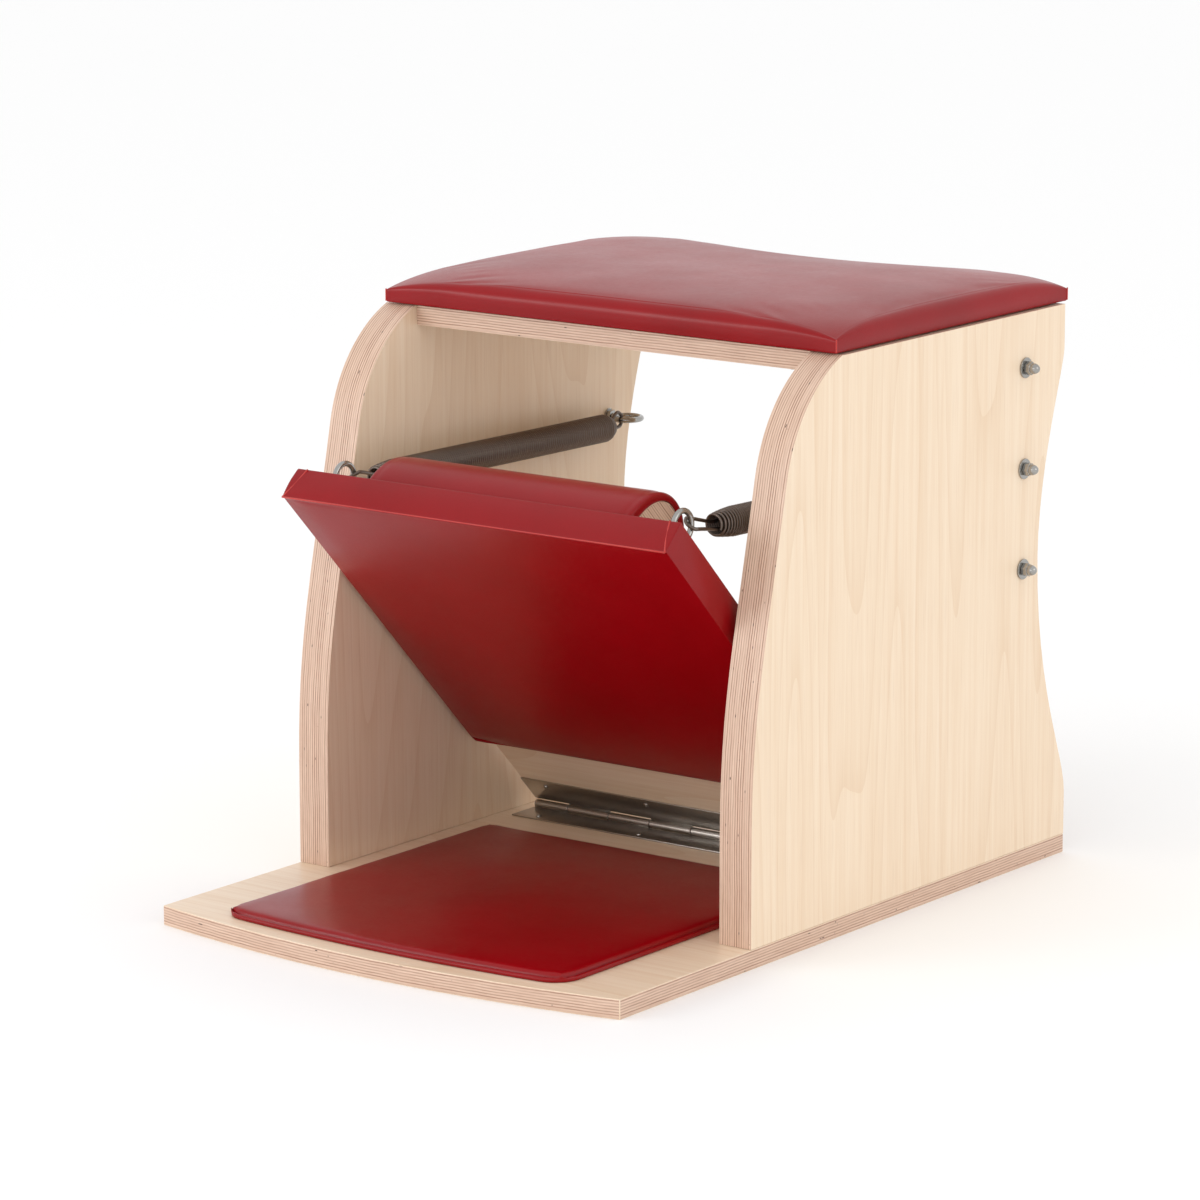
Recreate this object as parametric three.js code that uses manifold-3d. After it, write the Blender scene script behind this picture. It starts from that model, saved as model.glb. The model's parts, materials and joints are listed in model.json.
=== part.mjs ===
// Low Pilates chair: a plywood box seat with a sprung, hinged pedal. Millimetres, +Z up.
// The origin is on the floor, at the middle of the base board. The front faces -Y.
import * as THREE from "three";
import { mergeVertices } from "three/addons/utils/BufferGeometryUtils.js";
import Module from "manifold-3d";

const wasm = await Module();
wasm.setup();

// ---- Driving dimensions ----
const GAP = 0.3; // between pieces that touch

const WIDTH = 600;
const BASE_DEPTH = 824; // from the front corners to the rear edge
const BASE_BULGE = 32; // how far the front edge bows forward of its corners
const PLY = 21;
const PANEL_PLY = 40;
const PANEL_TOP = 616;
const PANEL_FRONT = 225;
const PANEL_REAR_TOP = 810.5;
const SEAT_FRONT = 385;
const REAR_HOLLOW = 25; // how far the seat's rear edge curves in

const PAD_HALF = 296;
const PAD_FRONT = 377;
const PAD_REAR = 819;
const PAD_TOP = 657;
const PAD_LIFT = 1.8; // shadow gap under the upholstered edge
const PAD_CROWN = 18;
const PAD_BOARD = 12;

const MAT_HALF = 226;
const MAT_FRONT = 6;
const MAT_REAR = 461;
const MAT_BULGE = 14;
const MAT_CORNER = 28;
const MAT_TOP = 31;

const HINGE_Y = 569.6;
const KNUCKLE_RADIUS = 5;
const HINGE_HALF = 240.7;
const LEAF_WIDTH = 46;
const LEAF_THICK = 1.6;
const KNUCKLE_PITCH = 57;
const FIRST_KNUCKLE = 46.7;
const KNUCKLES = 9;
const PIN_RADIUS = 2;
const SCREW_X = [-210, -70, 70, 210];
const SCREW_OUT = 36; // from the hinge pin to each row of screws

const PEDAL_ANGLE = 45.3; // degrees above the floor at rest
const PEDAL_HALF = 241;
const PEDAL_LENGTH = 589;
const WRAP_START = 134; // where the pedal's upholstery begins
const WRAP_FACE = 15;
const WRAP_SIDE = 9;
const WRAP_TOP = 7;
const WRAP_BACK = 1.8;
const WRAP_TURN = 3; // how far the upholstery laps onto the back of the board
const STEP_AT = 522;
const STEP_HALF = 170;
const STEP_RADII = [44, 64];
const STEP_COVER_RADII = [57, 73];
const STEP_COVER_OVERHANG = 2;

const EYE_RADIUS = 15.9;
const EYE_WIRE = 3.2;
const BOLT_RADIUS = 3.9;
const BOLT_HOLE = 4.4;
const PEDAL_EYE = { x: 221.3, along: 556.8, lift: 48.1 };
const FRAME_EYE_X = 232.9;
const FRAME_EYE_Y = 731.4;
const FRAME_EYE_ROWS = { bottom: 335.5, middle: 446, top: 556.5 };
const BOLT_END = 312;
const NUT_FLATS = 13;
const DOME_TOP = 319;
const CAP_NUT = { hex: 6.5, waist: 3, shoulder: 7, dome: NUT_FLATS / 2 - 0.4 };
const WASHER = { radius: 11.2, thick: 1.8 };
const INNER_NUT = { flange: 8.5, flangeThick: 1.6, depth: 7.1 };
const EYE_COLLAR = { radius: 7, thick: 2.5 };
const TEE_NUT = { barrel: 5.6, depth: 10, flange: 11, flangeThick: 1.2 };
const TEE_NUT_SEAT = { radius: 6, depth: 11, flange: 11.5, flangeDepth: 1.8 };

const SEAT_SCREW = { length: 28, head: 5, shank: 2.4, height: 3 };
const SEAT_PILOT = { radius: 2.8, depth: 10 };
const HINGE_SCREW = { length: 13, head: 3.4, shank: 1.9, height: 1.4 };
const HINGE_PILOT = { radius: 2.25, depth: 14, depthInBase: 15 };
const LEAF_HOLE = 2.3;

const COIL_RADIUS = 16;
const COIL_WIRE = 3.2;
const COIL_MOUTH = 11.4;
const COIL_START = 18; // from the frame eye's wire to the rear mouth
const COIL_STOP = 53; // from the pedal eye's centre to the front mouth
const COIL_SAG = 6;
const LOOP_WIRE = 2;
const LOOP_BEND = 8.5;
const LOOP_NECK = 5.5;
const LOOP_REACH = 24; // how far the legs run inside the coil
const FRONT_LOOP_TILT = 35; // degrees between the front loop and the horizontal

const LOOP_PLAY = { rear: 0.4, front: 0.8 }; // between a loop's bend and the eye that it hangs on
// How each end of the coil narrows: the distance in from its mouth, and what its radius is short of full.
const COIL_CONES = { rear: [[11, 1.2], [24, 0]], front: [[32, 0], [16, 1.4]] };

const ROUND = 12; // sides of a hole or a shank
const SMALL_ROUND = 8;

// ---- Materials ----
const finish = (color, roughness, metalness) =>
  new THREE.MeshStandardMaterial({ color, roughness, metalness });
const finishes = {
  maple: finish(0xe6cfa8, 0.45, 0),
  ply: finish(0xcfa888, 0.6, 0),
  leather: finish(0x96141a, 0.4, 0),
  stainless: finish(0xb9b9b6, 0.32, 1),
  zinc: finish(0xc8ccd0, 0.3, 1),
  springSteel: finish(0x2b2623, 0.4, 1),
};

// ---- Solids: three.js geometry in, manifold booleans between, geometry out ----
function solid(geometry) {
  const plain = geometry.clone();
  plain.deleteAttribute("normal");
  plain.deleteAttribute("uv");
  const merged = mergeVertices(plain, 1e-4);
  return new wasm.Manifold(
    new wasm.Mesh({
      numProp: 3,
      vertProperties: merged.attributes.position.array,
      triVerts: new Uint32Array(merged.index.array),
    }),
  );
}

function geometryOf(body) {
  const mesh = body.getMesh();
  const geometry = new THREE.BufferGeometry();
  geometry.setAttribute("position", new THREE.BufferAttribute(mesh.vertProperties, 3));
  geometry.setIndex(new THREE.BufferAttribute(mesh.triVerts, 1));
  return geometry;
}

const cut = (from, ...tools) =>
  geometryOf(tools.reduce((body, tool) => body.subtract(solid(tool)), solid(from)));
const join = (first, ...rest) =>
  geometryOf(rest.reduce((body, piece) => body.add(solid(piece)), solid(first)));

function box([x0, x1], [y0, y1], [z0, z1]) {
  const block = new THREE.BoxGeometry(x1 - x0, y1 - y0, z1 - z0);
  return block.translate((x0 + x1) / 2, (y0 + y1) / 2, (z0 + z1) / 2);
}

// A round bar along "x" or "z" between two stations, centred on the other two coordinates.
function bar(axis, radius, [from, to], [a, b], sides = ROUND) {
  const rod = new THREE.CylinderGeometry(radius, radius, to - from, sides);
  const middle = (from + to) / 2;
  if (axis === "x") return rod.rotateZ(-Math.PI / 2).translate(middle, a, b);
  return rod.rotateX(Math.PI / 2).translate(a, b, middle);
}

// A hexagonal prism along +X from x0 to x1.
function hexagon(x0, x1) {
  const corner = NUT_FLATS / Math.sqrt(3);
  return bar("x", corner, [x0, x1], [0, 0], 6);
}

// A turned piece about +Y from [radius, station] points, with its faces outwards.
function turned(points, sides = 24) {
  const closed = [...points, points[0]];
  const area = points.reduce((sum, [r, y], i) => {
    const [nextR, nextY] = closed[i + 1];
    return sum + r * nextY - nextR * y;
  }, 0);
  const profile = area > 0 ? closed : closed.reverse();
  return new THREE.LatheGeometry(profile.map(([r, y]) => new THREE.Vector2(r, y)), sides);
}

// An outline in Y and Z, extruded along X between two stations.
const turnToX = new THREE.Matrix4().makeBasis(
  new THREE.Vector3(0, 1, 0),
  new THREE.Vector3(0, 0, 1),
  new THREE.Vector3(1, 0, 0),
);
function extrudeX(outline, x0, x1, curveSegments = 12) {
  const options = { depth: x1 - x0, bevelEnabled: false, curveSegments };
  const block = new THREE.ExtrudeGeometry(outline, options);
  return block.applyMatrix4(turnToX).translate(x0, 0, 0);
}

// An outline in X and Y, extruded upwards between two heights.
function extrudeZ(outline, z0, z1, curveSegments = 12) {
  const options = { depth: z1 - z0, bevelEnabled: false, curveSegments };
  return new THREE.ExtrudeGeometry(outline, options).translate(0, 0, z0);
}

// A bent wire of round section through a list of points.
function wire(points, radius, steps) {
  const path = new THREE.CatmullRomCurve3(points, false, "centripetal");
  const section = new THREE.Shape().absarc(0, 0, radius, 0, 2 * Math.PI, false);
  return new THREE.ExtrudeGeometry(section, { extrudePath: path, steps, curveSegments: 4 });
}

// ---- The assembly ----
const chair = new THREE.Group();
chair.position.y = (BASE_BULGE - BASE_DEPTH) / 2;
const pedal = new THREE.Group();
const HINGE_Z = PLY + GAP + KNUCKLE_RADIUS;
pedal.position.set(0, HINGE_Y, HINGE_Z);
pedal.rotation.x = THREE.MathUtils.degToRad(-PEDAL_ANGLE);
chair.add(pedal);

function place(parent, name, geometry, material) {
  const mesh = new THREE.Mesh(geometry, material);
  mesh.name = name;
  parent.add(mesh);
  return mesh;
}

// ---- Plywood frame ----
function bowedSlab(half, front, rear, bulge, hollow) {
  const outline = new THREE.Shape();
  outline.moveTo(-half, front);
  outline.quadraticCurveTo(0, front - 2 * bulge, half, front);
  outline.lineTo(half, rear);
  outline.quadraticCurveTo(0, rear - 2 * hollow, -half, rear);
  return outline;
}

const underHinge = (x) => bar(
  "z",
  HINGE_PILOT.radius,
  [PLY - HINGE_PILOT.depthInBase, PLY + 1],
  [x, HINGE_Y - SCREW_OUT],
  SMALL_ROUND,
);
const baseSlab = extrudeZ(bowedSlab(WIDTH / 2, 0, BASE_DEPTH, BASE_BULGE, 0), 0, PLY, 20);
place(chair, "base_board", cut(baseSlab, ...SCREW_X.map(underHinge)), finishes.maple);

// The side profile: an upright front that leans back into one big round shoulder,
// and a rear edge drawn in to a waist.
function panelOutline() {
  const foot = PLY + GAP;
  const shoulder = { y: 444.1, z: 465.1, radius: 163.2, from: 168, to: 112 };
  const leanEnd = THREE.MathUtils.degToRad(shoulder.from);
  const joinY = shoulder.y + shoulder.radius * Math.cos(leanEnd);
  const joinZ = shoulder.z + shoulder.radius * Math.sin(leanEnd);
  const lean = 170;
  const waist = { y: 762, z: 345 };
  const outline = new THREE.Shape();
  outline.moveTo(PANEL_FRONT, foot);
  outline.lineTo(BASE_DEPTH, foot);
  outline.lineTo(BASE_DEPTH, 70);
  outline.bezierCurveTo(BASE_DEPTH, 110, waist.y, 195, waist.y, waist.z);
  outline.bezierCurveTo(waist.y, 445, PANEL_REAR_TOP, 548, PANEL_REAR_TOP, 568);
  outline.lineTo(PANEL_REAR_TOP, PANEL_TOP);
  outline.lineTo(SEAT_FRONT, PANEL_TOP);
  const end = THREE.MathUtils.degToRad(shoulder.to);
  outline.absarc(shoulder.y, shoulder.z, shoulder.radius, end, leanEnd, false);
  const back = { y: joinY - lean * Math.sin(leanEnd), z: joinZ + lean * Math.cos(leanEnd) };
  outline.bezierCurveTo(back.y, back.z, PANEL_FRONT, 273, PANEL_FRONT, 133);
  return outline;
}

const inner = WIDTH / 2 - PANEL_PLY;
for (const [side, x0] of [["left", -WIDTH / 2], ["right", inner]]) {
  const slab = extrudeX(panelOutline(), x0, x0 + PANEL_PLY);
  const span = [x0 - 1, x0 + PANEL_PLY + 1];
  const holes = Object.values(FRAME_EYE_ROWS).map((z) =>
    bar("x", BOLT_HOLE, span, [FRAME_EYE_Y, z]),
  );
  place(chair, "side_panel_" + side, cut(slab, ...holes), finishes.maple);
}

const seatHalf = inner - GAP;
const seatOutline = bowedSlab(seatHalf, SEAT_FRONT, PANEL_REAR_TOP, 0, REAR_HOLLOW);
const SEAT_SCREWS = [[-226, 402], [226, 402], [-226, 770], [226, 770]];
const throughSeat = SEAT_SCREWS.map((at) =>
  bar("z", SEAT_PILOT.radius, [PANEL_TOP - PLY - 1, PANEL_TOP + 1], at, SMALL_ROUND),
);
const seatSlab = extrudeZ(seatOutline, PANEL_TOP - PLY, PANEL_TOP);
place(chair, "seat_board", cut(seatSlab, ...throughSeat), finishes.maple);

// ---- Seat cushion: a thin board with upholstery over its top and edges ----
const boardFoot = PANEL_TOP + GAP;
const boardInset = 13;
const cushionBoard = bowedSlab(
  PAD_HALF - boardInset,
  PAD_FRONT + boardInset,
  PAD_REAR - boardInset,
  0,
  REAR_HOLLOW,
);
const intoBoard = SEAT_SCREWS.map((at) =>
  bar("z", SEAT_PILOT.radius, [boardFoot - 1, boardFoot + SEAT_PILOT.depth], at, SMALL_ROUND),
);
const boardSlab = extrudeZ(cushionBoard, boardFoot, boardFoot + PAD_BOARD);
place(chair, "seat_pad_board", cut(boardSlab, ...intoBoard), finishes.ply);

function cushion() {
  const foot = PANEL_TOP + PAD_LIFT;
  const outline = bowedSlab(
    PAD_HALF - PAD_CROWN,
    PAD_FRONT + PAD_CROWN,
    PAD_REAR - PAD_CROWN,
    0,
    REAR_HOLLOW,
  );
  const body = new THREE.ExtrudeGeometry(outline, {
    depth: PAD_TOP - foot - PAD_CROWN,
    bevelThickness: PAD_CROWN,
    bevelSize: PAD_CROWN,
    bevelSegments: 3,
    curveSegments: 10,
  }).translate(0, 0, foot);
  const below = box([-400, 400], [0, 1000], [foot - 2 * PAD_CROWN, foot]);
  const pocketInset = boardInset - GAP;
  const pocket = bowedSlab(
    PAD_HALF - pocketInset,
    PAD_FRONT + pocketInset,
    PAD_REAR - pocketInset,
    0,
    REAR_HOLLOW,
  );
  return cut(body, below, extrudeZ(pocket, foot - 1, boardFoot + PAD_BOARD + GAP));
}
place(chair, "seat_pad", cushion(), finishes.leather);

function panHeadScrew({ length, head, shank, height }) {
  const stem = [[0, -length], [shank, -length], [shank, 0]];
  const cap = [[head, 0], [head * 0.7, height], [0, height]];
  return turned([...stem, ...cap], 10);
}

SEAT_SCREWS.forEach(([x, y], i) => {
  const screw = place(chair, "seat_screw_" + (i + 1), panHeadScrew(SEAT_SCREW), finishes.zinc);
  screw.position.set(x, y, PANEL_TOP - PLY - GAP);
  screw.rotation.x = -Math.PI / 2;
});

// ---- Foot mat on the base ----
function matOutline() {
  const outline = new THREE.Shape();
  const [x, r, quarter] = [MAT_HALF - MAT_CORNER, MAT_CORNER, Math.PI / 2];
  outline.moveTo(-x, MAT_FRONT);
  outline.quadraticCurveTo(0, MAT_FRONT - 2 * MAT_BULGE, x, MAT_FRONT);
  outline.absarc(x, MAT_FRONT + r, r, -quarter, 0, false);
  outline.absarc(x, MAT_REAR - r, r, 0, quarter, false);
  outline.absarc(-x, MAT_REAR - r, r, quarter, 2 * quarter, false);
  outline.absarc(-x, MAT_FRONT + r, r, 2 * quarter, 3 * quarter, false);
  return outline;
}
place(chair, "base_pad", extrudeZ(matOutline(), PLY + GAP, MAT_TOP, 8), finishes.leather);

// ---- Piano hinge. Its leaves lie flat: the base's below the pin, the pedal's above ----
const knuckleEnds = Array.from({ length: KNUCKLES + 1 }, (_, i) => {
  const x = -HINGE_HALF + FIRST_KNUCKLE + (i - 1) * KNUCKLE_PITCH;
  return THREE.MathUtils.clamp(x, -HINGE_HALF, HINGE_HALF);
});

function hingeLeaf(firstKnuckle, face) {
  const near = face * (KNUCKLE_RADIUS - LEAF_THICK);
  const far = face * KNUCKLE_RADIUS;
  const plate = box([-HINGE_HALF, HINGE_HALF], [-LEAF_WIDTH, 0], [near, far].sort((a, b) => a - b));
  const own = [];
  const others = [];
  for (let i = 0; i < KNUCKLES; i += 1) {
    const [x0, x1] = [knuckleEnds[i], knuckleEnds[i + 1]];
    const mine = i % 2 === firstKnuckle;
    if (mine) own.push(bar("x", KNUCKLE_RADIUS, [x0 + GAP, x1 - GAP], [0, 0]));
    else others.push(bar("x", KNUCKLE_RADIUS + 0.6, [x0 - GAP, x1 + GAP], [0, 0]));
  }
  const open = cut(plate, ...others);
  const bore = bar("x", PIN_RADIUS + GAP, [-300, 300], [0, 0], 10);
  const holes = SCREW_X.map((x) => bar("z", LEAF_HOLE, [-8, 8], [x, -SCREW_OUT], SMALL_ROUND));
  return cut(join(open, ...own), bore, ...holes);
}

const baseLeaf = place(chair, "hinge_leaf_base", hingeLeaf(0, -1), finishes.stainless);
baseLeaf.position.copy(pedal.position);
place(pedal, "hinge_leaf_pedal", hingeLeaf(1, 1), finishes.stainless);
const pin = bar("x", PIN_RADIUS, [-HINGE_HALF, HINGE_HALF], [HINGE_Y, HINGE_Z], 10);
place(chair, "hinge_pin", pin, finishes.stainless);

SCREW_X.forEach((x, i) => {
  const down = panHeadScrew(HINGE_SCREW);
  const inBase = place(chair, "base_hinge_screw_" + (i + 1), down, finishes.stainless);
  inBase.position.set(x, HINGE_Y - SCREW_OUT, HINGE_Z - KNUCKLE_RADIUS + LEAF_THICK + GAP);
  inBase.rotation.x = Math.PI / 2;
  const inPedal = place(pedal, "pedal_hinge_screw_" + (i + 1), down, finishes.stainless);
  inPedal.position.set(x, -SCREW_OUT, KNUCKLE_RADIUS - LEAF_THICK - GAP);
  inPedal.rotation.x = -Math.PI / 2;
});

// ---- Pedal. In its own frame it lies flat, runs along -Y, and its back faces +Z ----
const BOARD_FACE = KNUCKLE_RADIUS + GAP;
const BOARD_BACK = BOARD_FACE + PLY;
const EYE_SIDES = { left: -1, right: 1 };

const eyeHoles = Object.values(EYE_SIDES).flatMap((sign) => {
  const at = [sign * PEDAL_EYE.x, -PEDAL_EYE.along];
  return [
    bar("z", BOLT_HOLE, [BOARD_FACE - 1, BOARD_BACK + 1], at),
    bar("z", TEE_NUT_SEAT.radius, [BOARD_FACE - 1, BOARD_FACE + TEE_NUT_SEAT.depth], at),
    bar("z", TEE_NUT_SEAT.flange, [BOARD_FACE - 1, BOARD_FACE + TEE_NUT_SEAT.flangeDepth], at),
  ];
});
const pilotSpan = [BOARD_FACE - 1, BOARD_FACE + HINGE_PILOT.depth];
const pilotHoles = SCREW_X.map((x) =>
  bar("z", HINGE_PILOT.radius, pilotSpan, [x, -SCREW_OUT], SMALL_ROUND),
);
const pedalSlab = box([-PEDAL_HALF, PEDAL_HALF], [-PEDAL_LENGTH, -2], [BOARD_FACE, BOARD_BACK]);
place(pedal, "pedal_board", cut(pedalSlab, ...eyeHoles, ...pilotHoles), finishes.maple);

function pedalWrap() {
  const half = PEDAL_HALF + WRAP_SIDE;
  const face = BOARD_FACE - WRAP_FACE;
  const top = -PEDAL_LENGTH - WRAP_TOP;
  const body = box([-half, half], [top, -WRAP_START], [face, BOARD_BACK + GAP + WRAP_BACK]);
  const pocket = box(
    [-PEDAL_HALF - GAP, PEDAL_HALF + GAP],
    [-PEDAL_LENGTH - GAP, 0],
    [BOARD_FACE - GAP, BOARD_BACK + GAP],
  );
  const window = box(
    [-PEDAL_HALF + WRAP_TURN, PEDAL_HALF - WRAP_TURN],
    [-PEDAL_LENGTH + WRAP_TURN, 0],
    [BOARD_FACE, BOARD_BACK + 10],
  );
  return cut(body, pocket, window);
}
place(pedal, "pedal_pad", pedalWrap(), finishes.leather);

// ---- Rounded step on the back of the pedal, with its own wrap ----
function halfOval([along, up], at) {
  const outline = new THREE.Shape();
  outline.moveTo(at + along, 0);
  outline.absellipse(at, 0, along, up, 0, Math.PI, false);
  return outline;
}

const stepFoot = BOARD_BACK + GAP;
const stepBlock = extrudeX(halfOval(STEP_RADII, -STEP_AT), -STEP_HALF, STEP_HALF);
place(pedal, "pedal_step_block", stepBlock.translate(0, 0, stepFoot), finishes.maple);

const coverHalf = STEP_HALF + STEP_COVER_OVERHANG;
const coverSpan = [-coverHalf, coverHalf];
const coverOuter = extrudeX(halfOval(STEP_COVER_RADII, -STEP_AT), ...coverSpan);
const coverInner = extrudeX(
  halfOval(STEP_RADII.map((r) => r + GAP), -STEP_AT),
  -coverHalf - 1,
  coverHalf + 1,
);
const stepCover = cut(coverOuter, coverInner.translate(0, 0, -0.01));
place(pedal, "pedal_step_cover", stepCover.translate(0, 0, stepFoot), finishes.leather);

// ---- Eyebolts, nuts and washers ----
// An eyebolt along +X with its ring centred on the origin; its ring lies in the XY plane.
function eyebolt(length, collar) {
  const ring = new THREE.TorusGeometry(EYE_RADIUS, EYE_WIRE, 8, 20);
  const shank = bar("x", BOLT_RADIUS, [EYE_RADIUS, length], [0, 0]);
  const pieces = collar ? [bar("x", EYE_COLLAR.radius, collar, [0, 0])] : [];
  return join(ring, shank, ...pieces);
}

const washerFace = WIDTH / 2 + GAP;
const capFoot = washerFace + WASHER.thick + GAP;
function capNut() {
  const hexTop = capFoot + CAP_NUT.hex;
  const outline = [
    [0, hexTop - 1],
    [CAP_NUT.dome, hexTop - 1],
    [CAP_NUT.dome, hexTop + CAP_NUT.waist],
    [CAP_NUT.dome * 0.8, hexTop + CAP_NUT.shoulder],
    [CAP_NUT.dome * 0.45, DOME_TOP - 0.8],
    [0, DOME_TOP],
  ];
  const dome = turned(outline, ROUND).rotateZ(-Math.PI / 2);
  const thread = bar("x", BOLT_RADIUS + GAP, [capFoot - 1, BOLT_END + 1], [0, 0], ROUND);
  return cut(join(hexagon(capFoot, hexTop), dome), thread);
}

function innerNut() {
  const foot = inner - GAP;
  const flange = bar("x", INNER_NUT.flange, [foot - INNER_NUT.flangeThick, foot], [0, 0]);
  const clear = bar("x", BOLT_HOLE, [foot - 2 * INNER_NUT.depth, foot + 1], [0, 0]);
  return cut(join(hexagon(foot - INNER_NUT.depth, foot - 1), flange), clear);
}

for (const [side, sign] of Object.entries(EYE_SIDES)) {
  for (const [row, z] of Object.entries(FRAME_EYE_ROWS)) {
    const station = new THREE.Group();
    station.position.set(0, FRAME_EYE_Y, z);
    if (sign < 0) station.rotation.z = Math.PI;
    chair.add(station);
    const tag = side + "_" + row;
    const bolt = eyebolt(BOLT_END - FRAME_EYE_X).translate(FRAME_EYE_X, 0, 0);
    const washer = cut(
      bar("x", WASHER.radius, [washerFace, washerFace + WASHER.thick], [0, 0], 20),
      bar("x", BOLT_HOLE, [washerFace - 1, washerFace + WASHER.thick + 1], [0, 0]),
    );
    place(station, "frame_eyebolt_" + tag, bolt, finishes.zinc);
    place(station, "frame_eye_nut_" + tag, innerNut(), finishes.zinc);
    place(station, "frame_washer_" + tag, washer, finishes.zinc);
    place(station, "frame_cap_nut_" + tag, capNut(), finishes.zinc);
  }

  // The pedal eyes stand on the back of the board, their rings in the plane of the spring.
  const eye = new THREE.Group();
  eye.position.set(sign * PEDAL_EYE.x, -PEDAL_EYE.along, PEDAL_EYE.lift);
  pedal.add(eye);
  const shankLength = PEDAL_EYE.lift - BOARD_FACE - EYE_COLLAR.thick;
  const collarTop = PEDAL_EYE.lift - stepFoot;
  const stud = eyebolt(shankLength, [collarTop - EYE_COLLAR.thick, collarTop]).rotateY(Math.PI / 2);
  place(eye, "pedal_eyebolt_" + side, stud, finishes.zinc);
  const flangeFoot = BOARD_FACE + GAP - PEDAL_EYE.lift;
  const teeNut = cut(
    join(
      bar("z", TEE_NUT.barrel, [flangeFoot, flangeFoot + TEE_NUT.depth], [0, 0]),
      bar("z", TEE_NUT.flange, [flangeFoot, flangeFoot + TEE_NUT.flangeThick], [0, 0]),
    ),
    bar("z", BOLT_RADIUS + GAP, [flangeFoot - 1, flangeFoot + TEE_NUT.depth + 1], [0, 0]),
  );
  place(eye, "pedal_tee_nut_" + side, teeNut, finishes.zinc);
}

// ---- Springs. Each hangs in its own frame: +Y runs from the frame eye to the pedal eye ----
function springFrame(sign) {
  const rear = new THREE.Vector3(
    sign * FRAME_EYE_X,
    FRAME_EYE_Y - EYE_RADIUS,
    FRAME_EYE_ROWS.middle,
  );
  pedal.updateMatrix();
  const front = new THREE.Vector3(sign * PEDAL_EYE.x, -PEDAL_EYE.along, PEDAL_EYE.lift);
  front.applyMatrix4(pedal.matrix);
  const along = front.clone().sub(rear).normalize();
  const across = along.clone().cross(new THREE.Vector3(0, 0, 1)).normalize();
  const up = across.clone().cross(along);
  const frame = new THREE.Group();
  frame.position.copy(rear);
  frame.quaternion.setFromRotationMatrix(new THREE.Matrix4().makeBasis(across, along, up));
  return [frame, front.distanceTo(rear)];
}

// A close-wound coil as a tube that narrows to an open mouth at each end.
function coil(start, stop) {
  const outer = [
    [COIL_MOUTH, start],
    ...COIL_CONES.rear.map(([inward, short]) => [COIL_RADIUS - short, start + inward]),
    ...COIL_CONES.front.map(([inward, short]) => [COIL_RADIUS - short, stop - inward]),
    [COIL_MOUTH, stop],
  ];
  const bore = outer.map(([r, y]) => [r - COIL_WIRE, y]).reverse();
  return turned([...outer, ...bore]).translate(0, 0, -COIL_SAG);
}

// A drawn-in wire loop: its bend sits at "bend", its legs run into the coil at "mouth".
function springLoop(bend, mouth, tilt) {
  const inward = Math.sign(mouth - bend);
  const centre = bend + inward * LOOP_BEND;
  const leg = (spread, y, drop) =>
    new THREE.Vector3(spread * Math.cos(tilt), y, spread * Math.sin(tilt) - drop);
  const points = [];
  const half = [
    [LOOP_NECK, mouth + inward * LOOP_REACH, COIL_SAG],
    [LOOP_NECK, mouth + inward * LOOP_REACH * 0.5, COIL_SAG],
    [LOOP_NECK, mouth, COIL_SAG],
    [LOOP_BEND, centre + inward * 2, 0],
  ];
  half.forEach(([spread, y, drop]) => points.push(leg(spread, y, drop)));
  for (let step = 1; step < 6; step += 1) {
    const turn = (step / 6) * Math.PI;
    const y = centre - inward * LOOP_BEND * Math.sin(turn);
    points.push(leg(LOOP_BEND * Math.cos(turn), y, 0));
  }
  half.reverse().forEach(([spread, y, drop]) => points.push(leg(-spread, y, drop)));
  return wire(points, LOOP_WIRE, 28);
}

for (const [side, sign] of Object.entries(EYE_SIDES)) {
  const [frame, span] = springFrame(sign);
  chair.add(frame);
  const [start, stop] = [COIL_START, span - COIL_STOP];
  const clearance = EYE_WIRE + LOOP_WIRE;
  const rearLoop = springLoop(-clearance - LOOP_PLAY.rear, start, Math.PI / 2);
  const tilt = sign * THREE.MathUtils.degToRad(FRONT_LOOP_TILT);
  const frontBend = span - EYE_RADIUS + clearance + LOOP_PLAY.front;
  const frontLoop = springLoop(frontBend, stop, tilt);
  place(frame, "spring_coil_" + side, coil(start, stop), finishes.springSteel);
  place(frame, "spring_rear_loop_" + side, rearLoop, finishes.springSteel);
  place(frame, "spring_front_loop_" + side, frontLoop, finishes.springSteel);
}

export default chair;
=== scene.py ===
"""Looks of a low Pilates chair: maple plywood, red upholstery, a sprung pedal on a piano hinge."""

import json
import math

import bmesh
import bpy
import numpy as np
from mathutils import Matrix, Vector, noise


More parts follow.
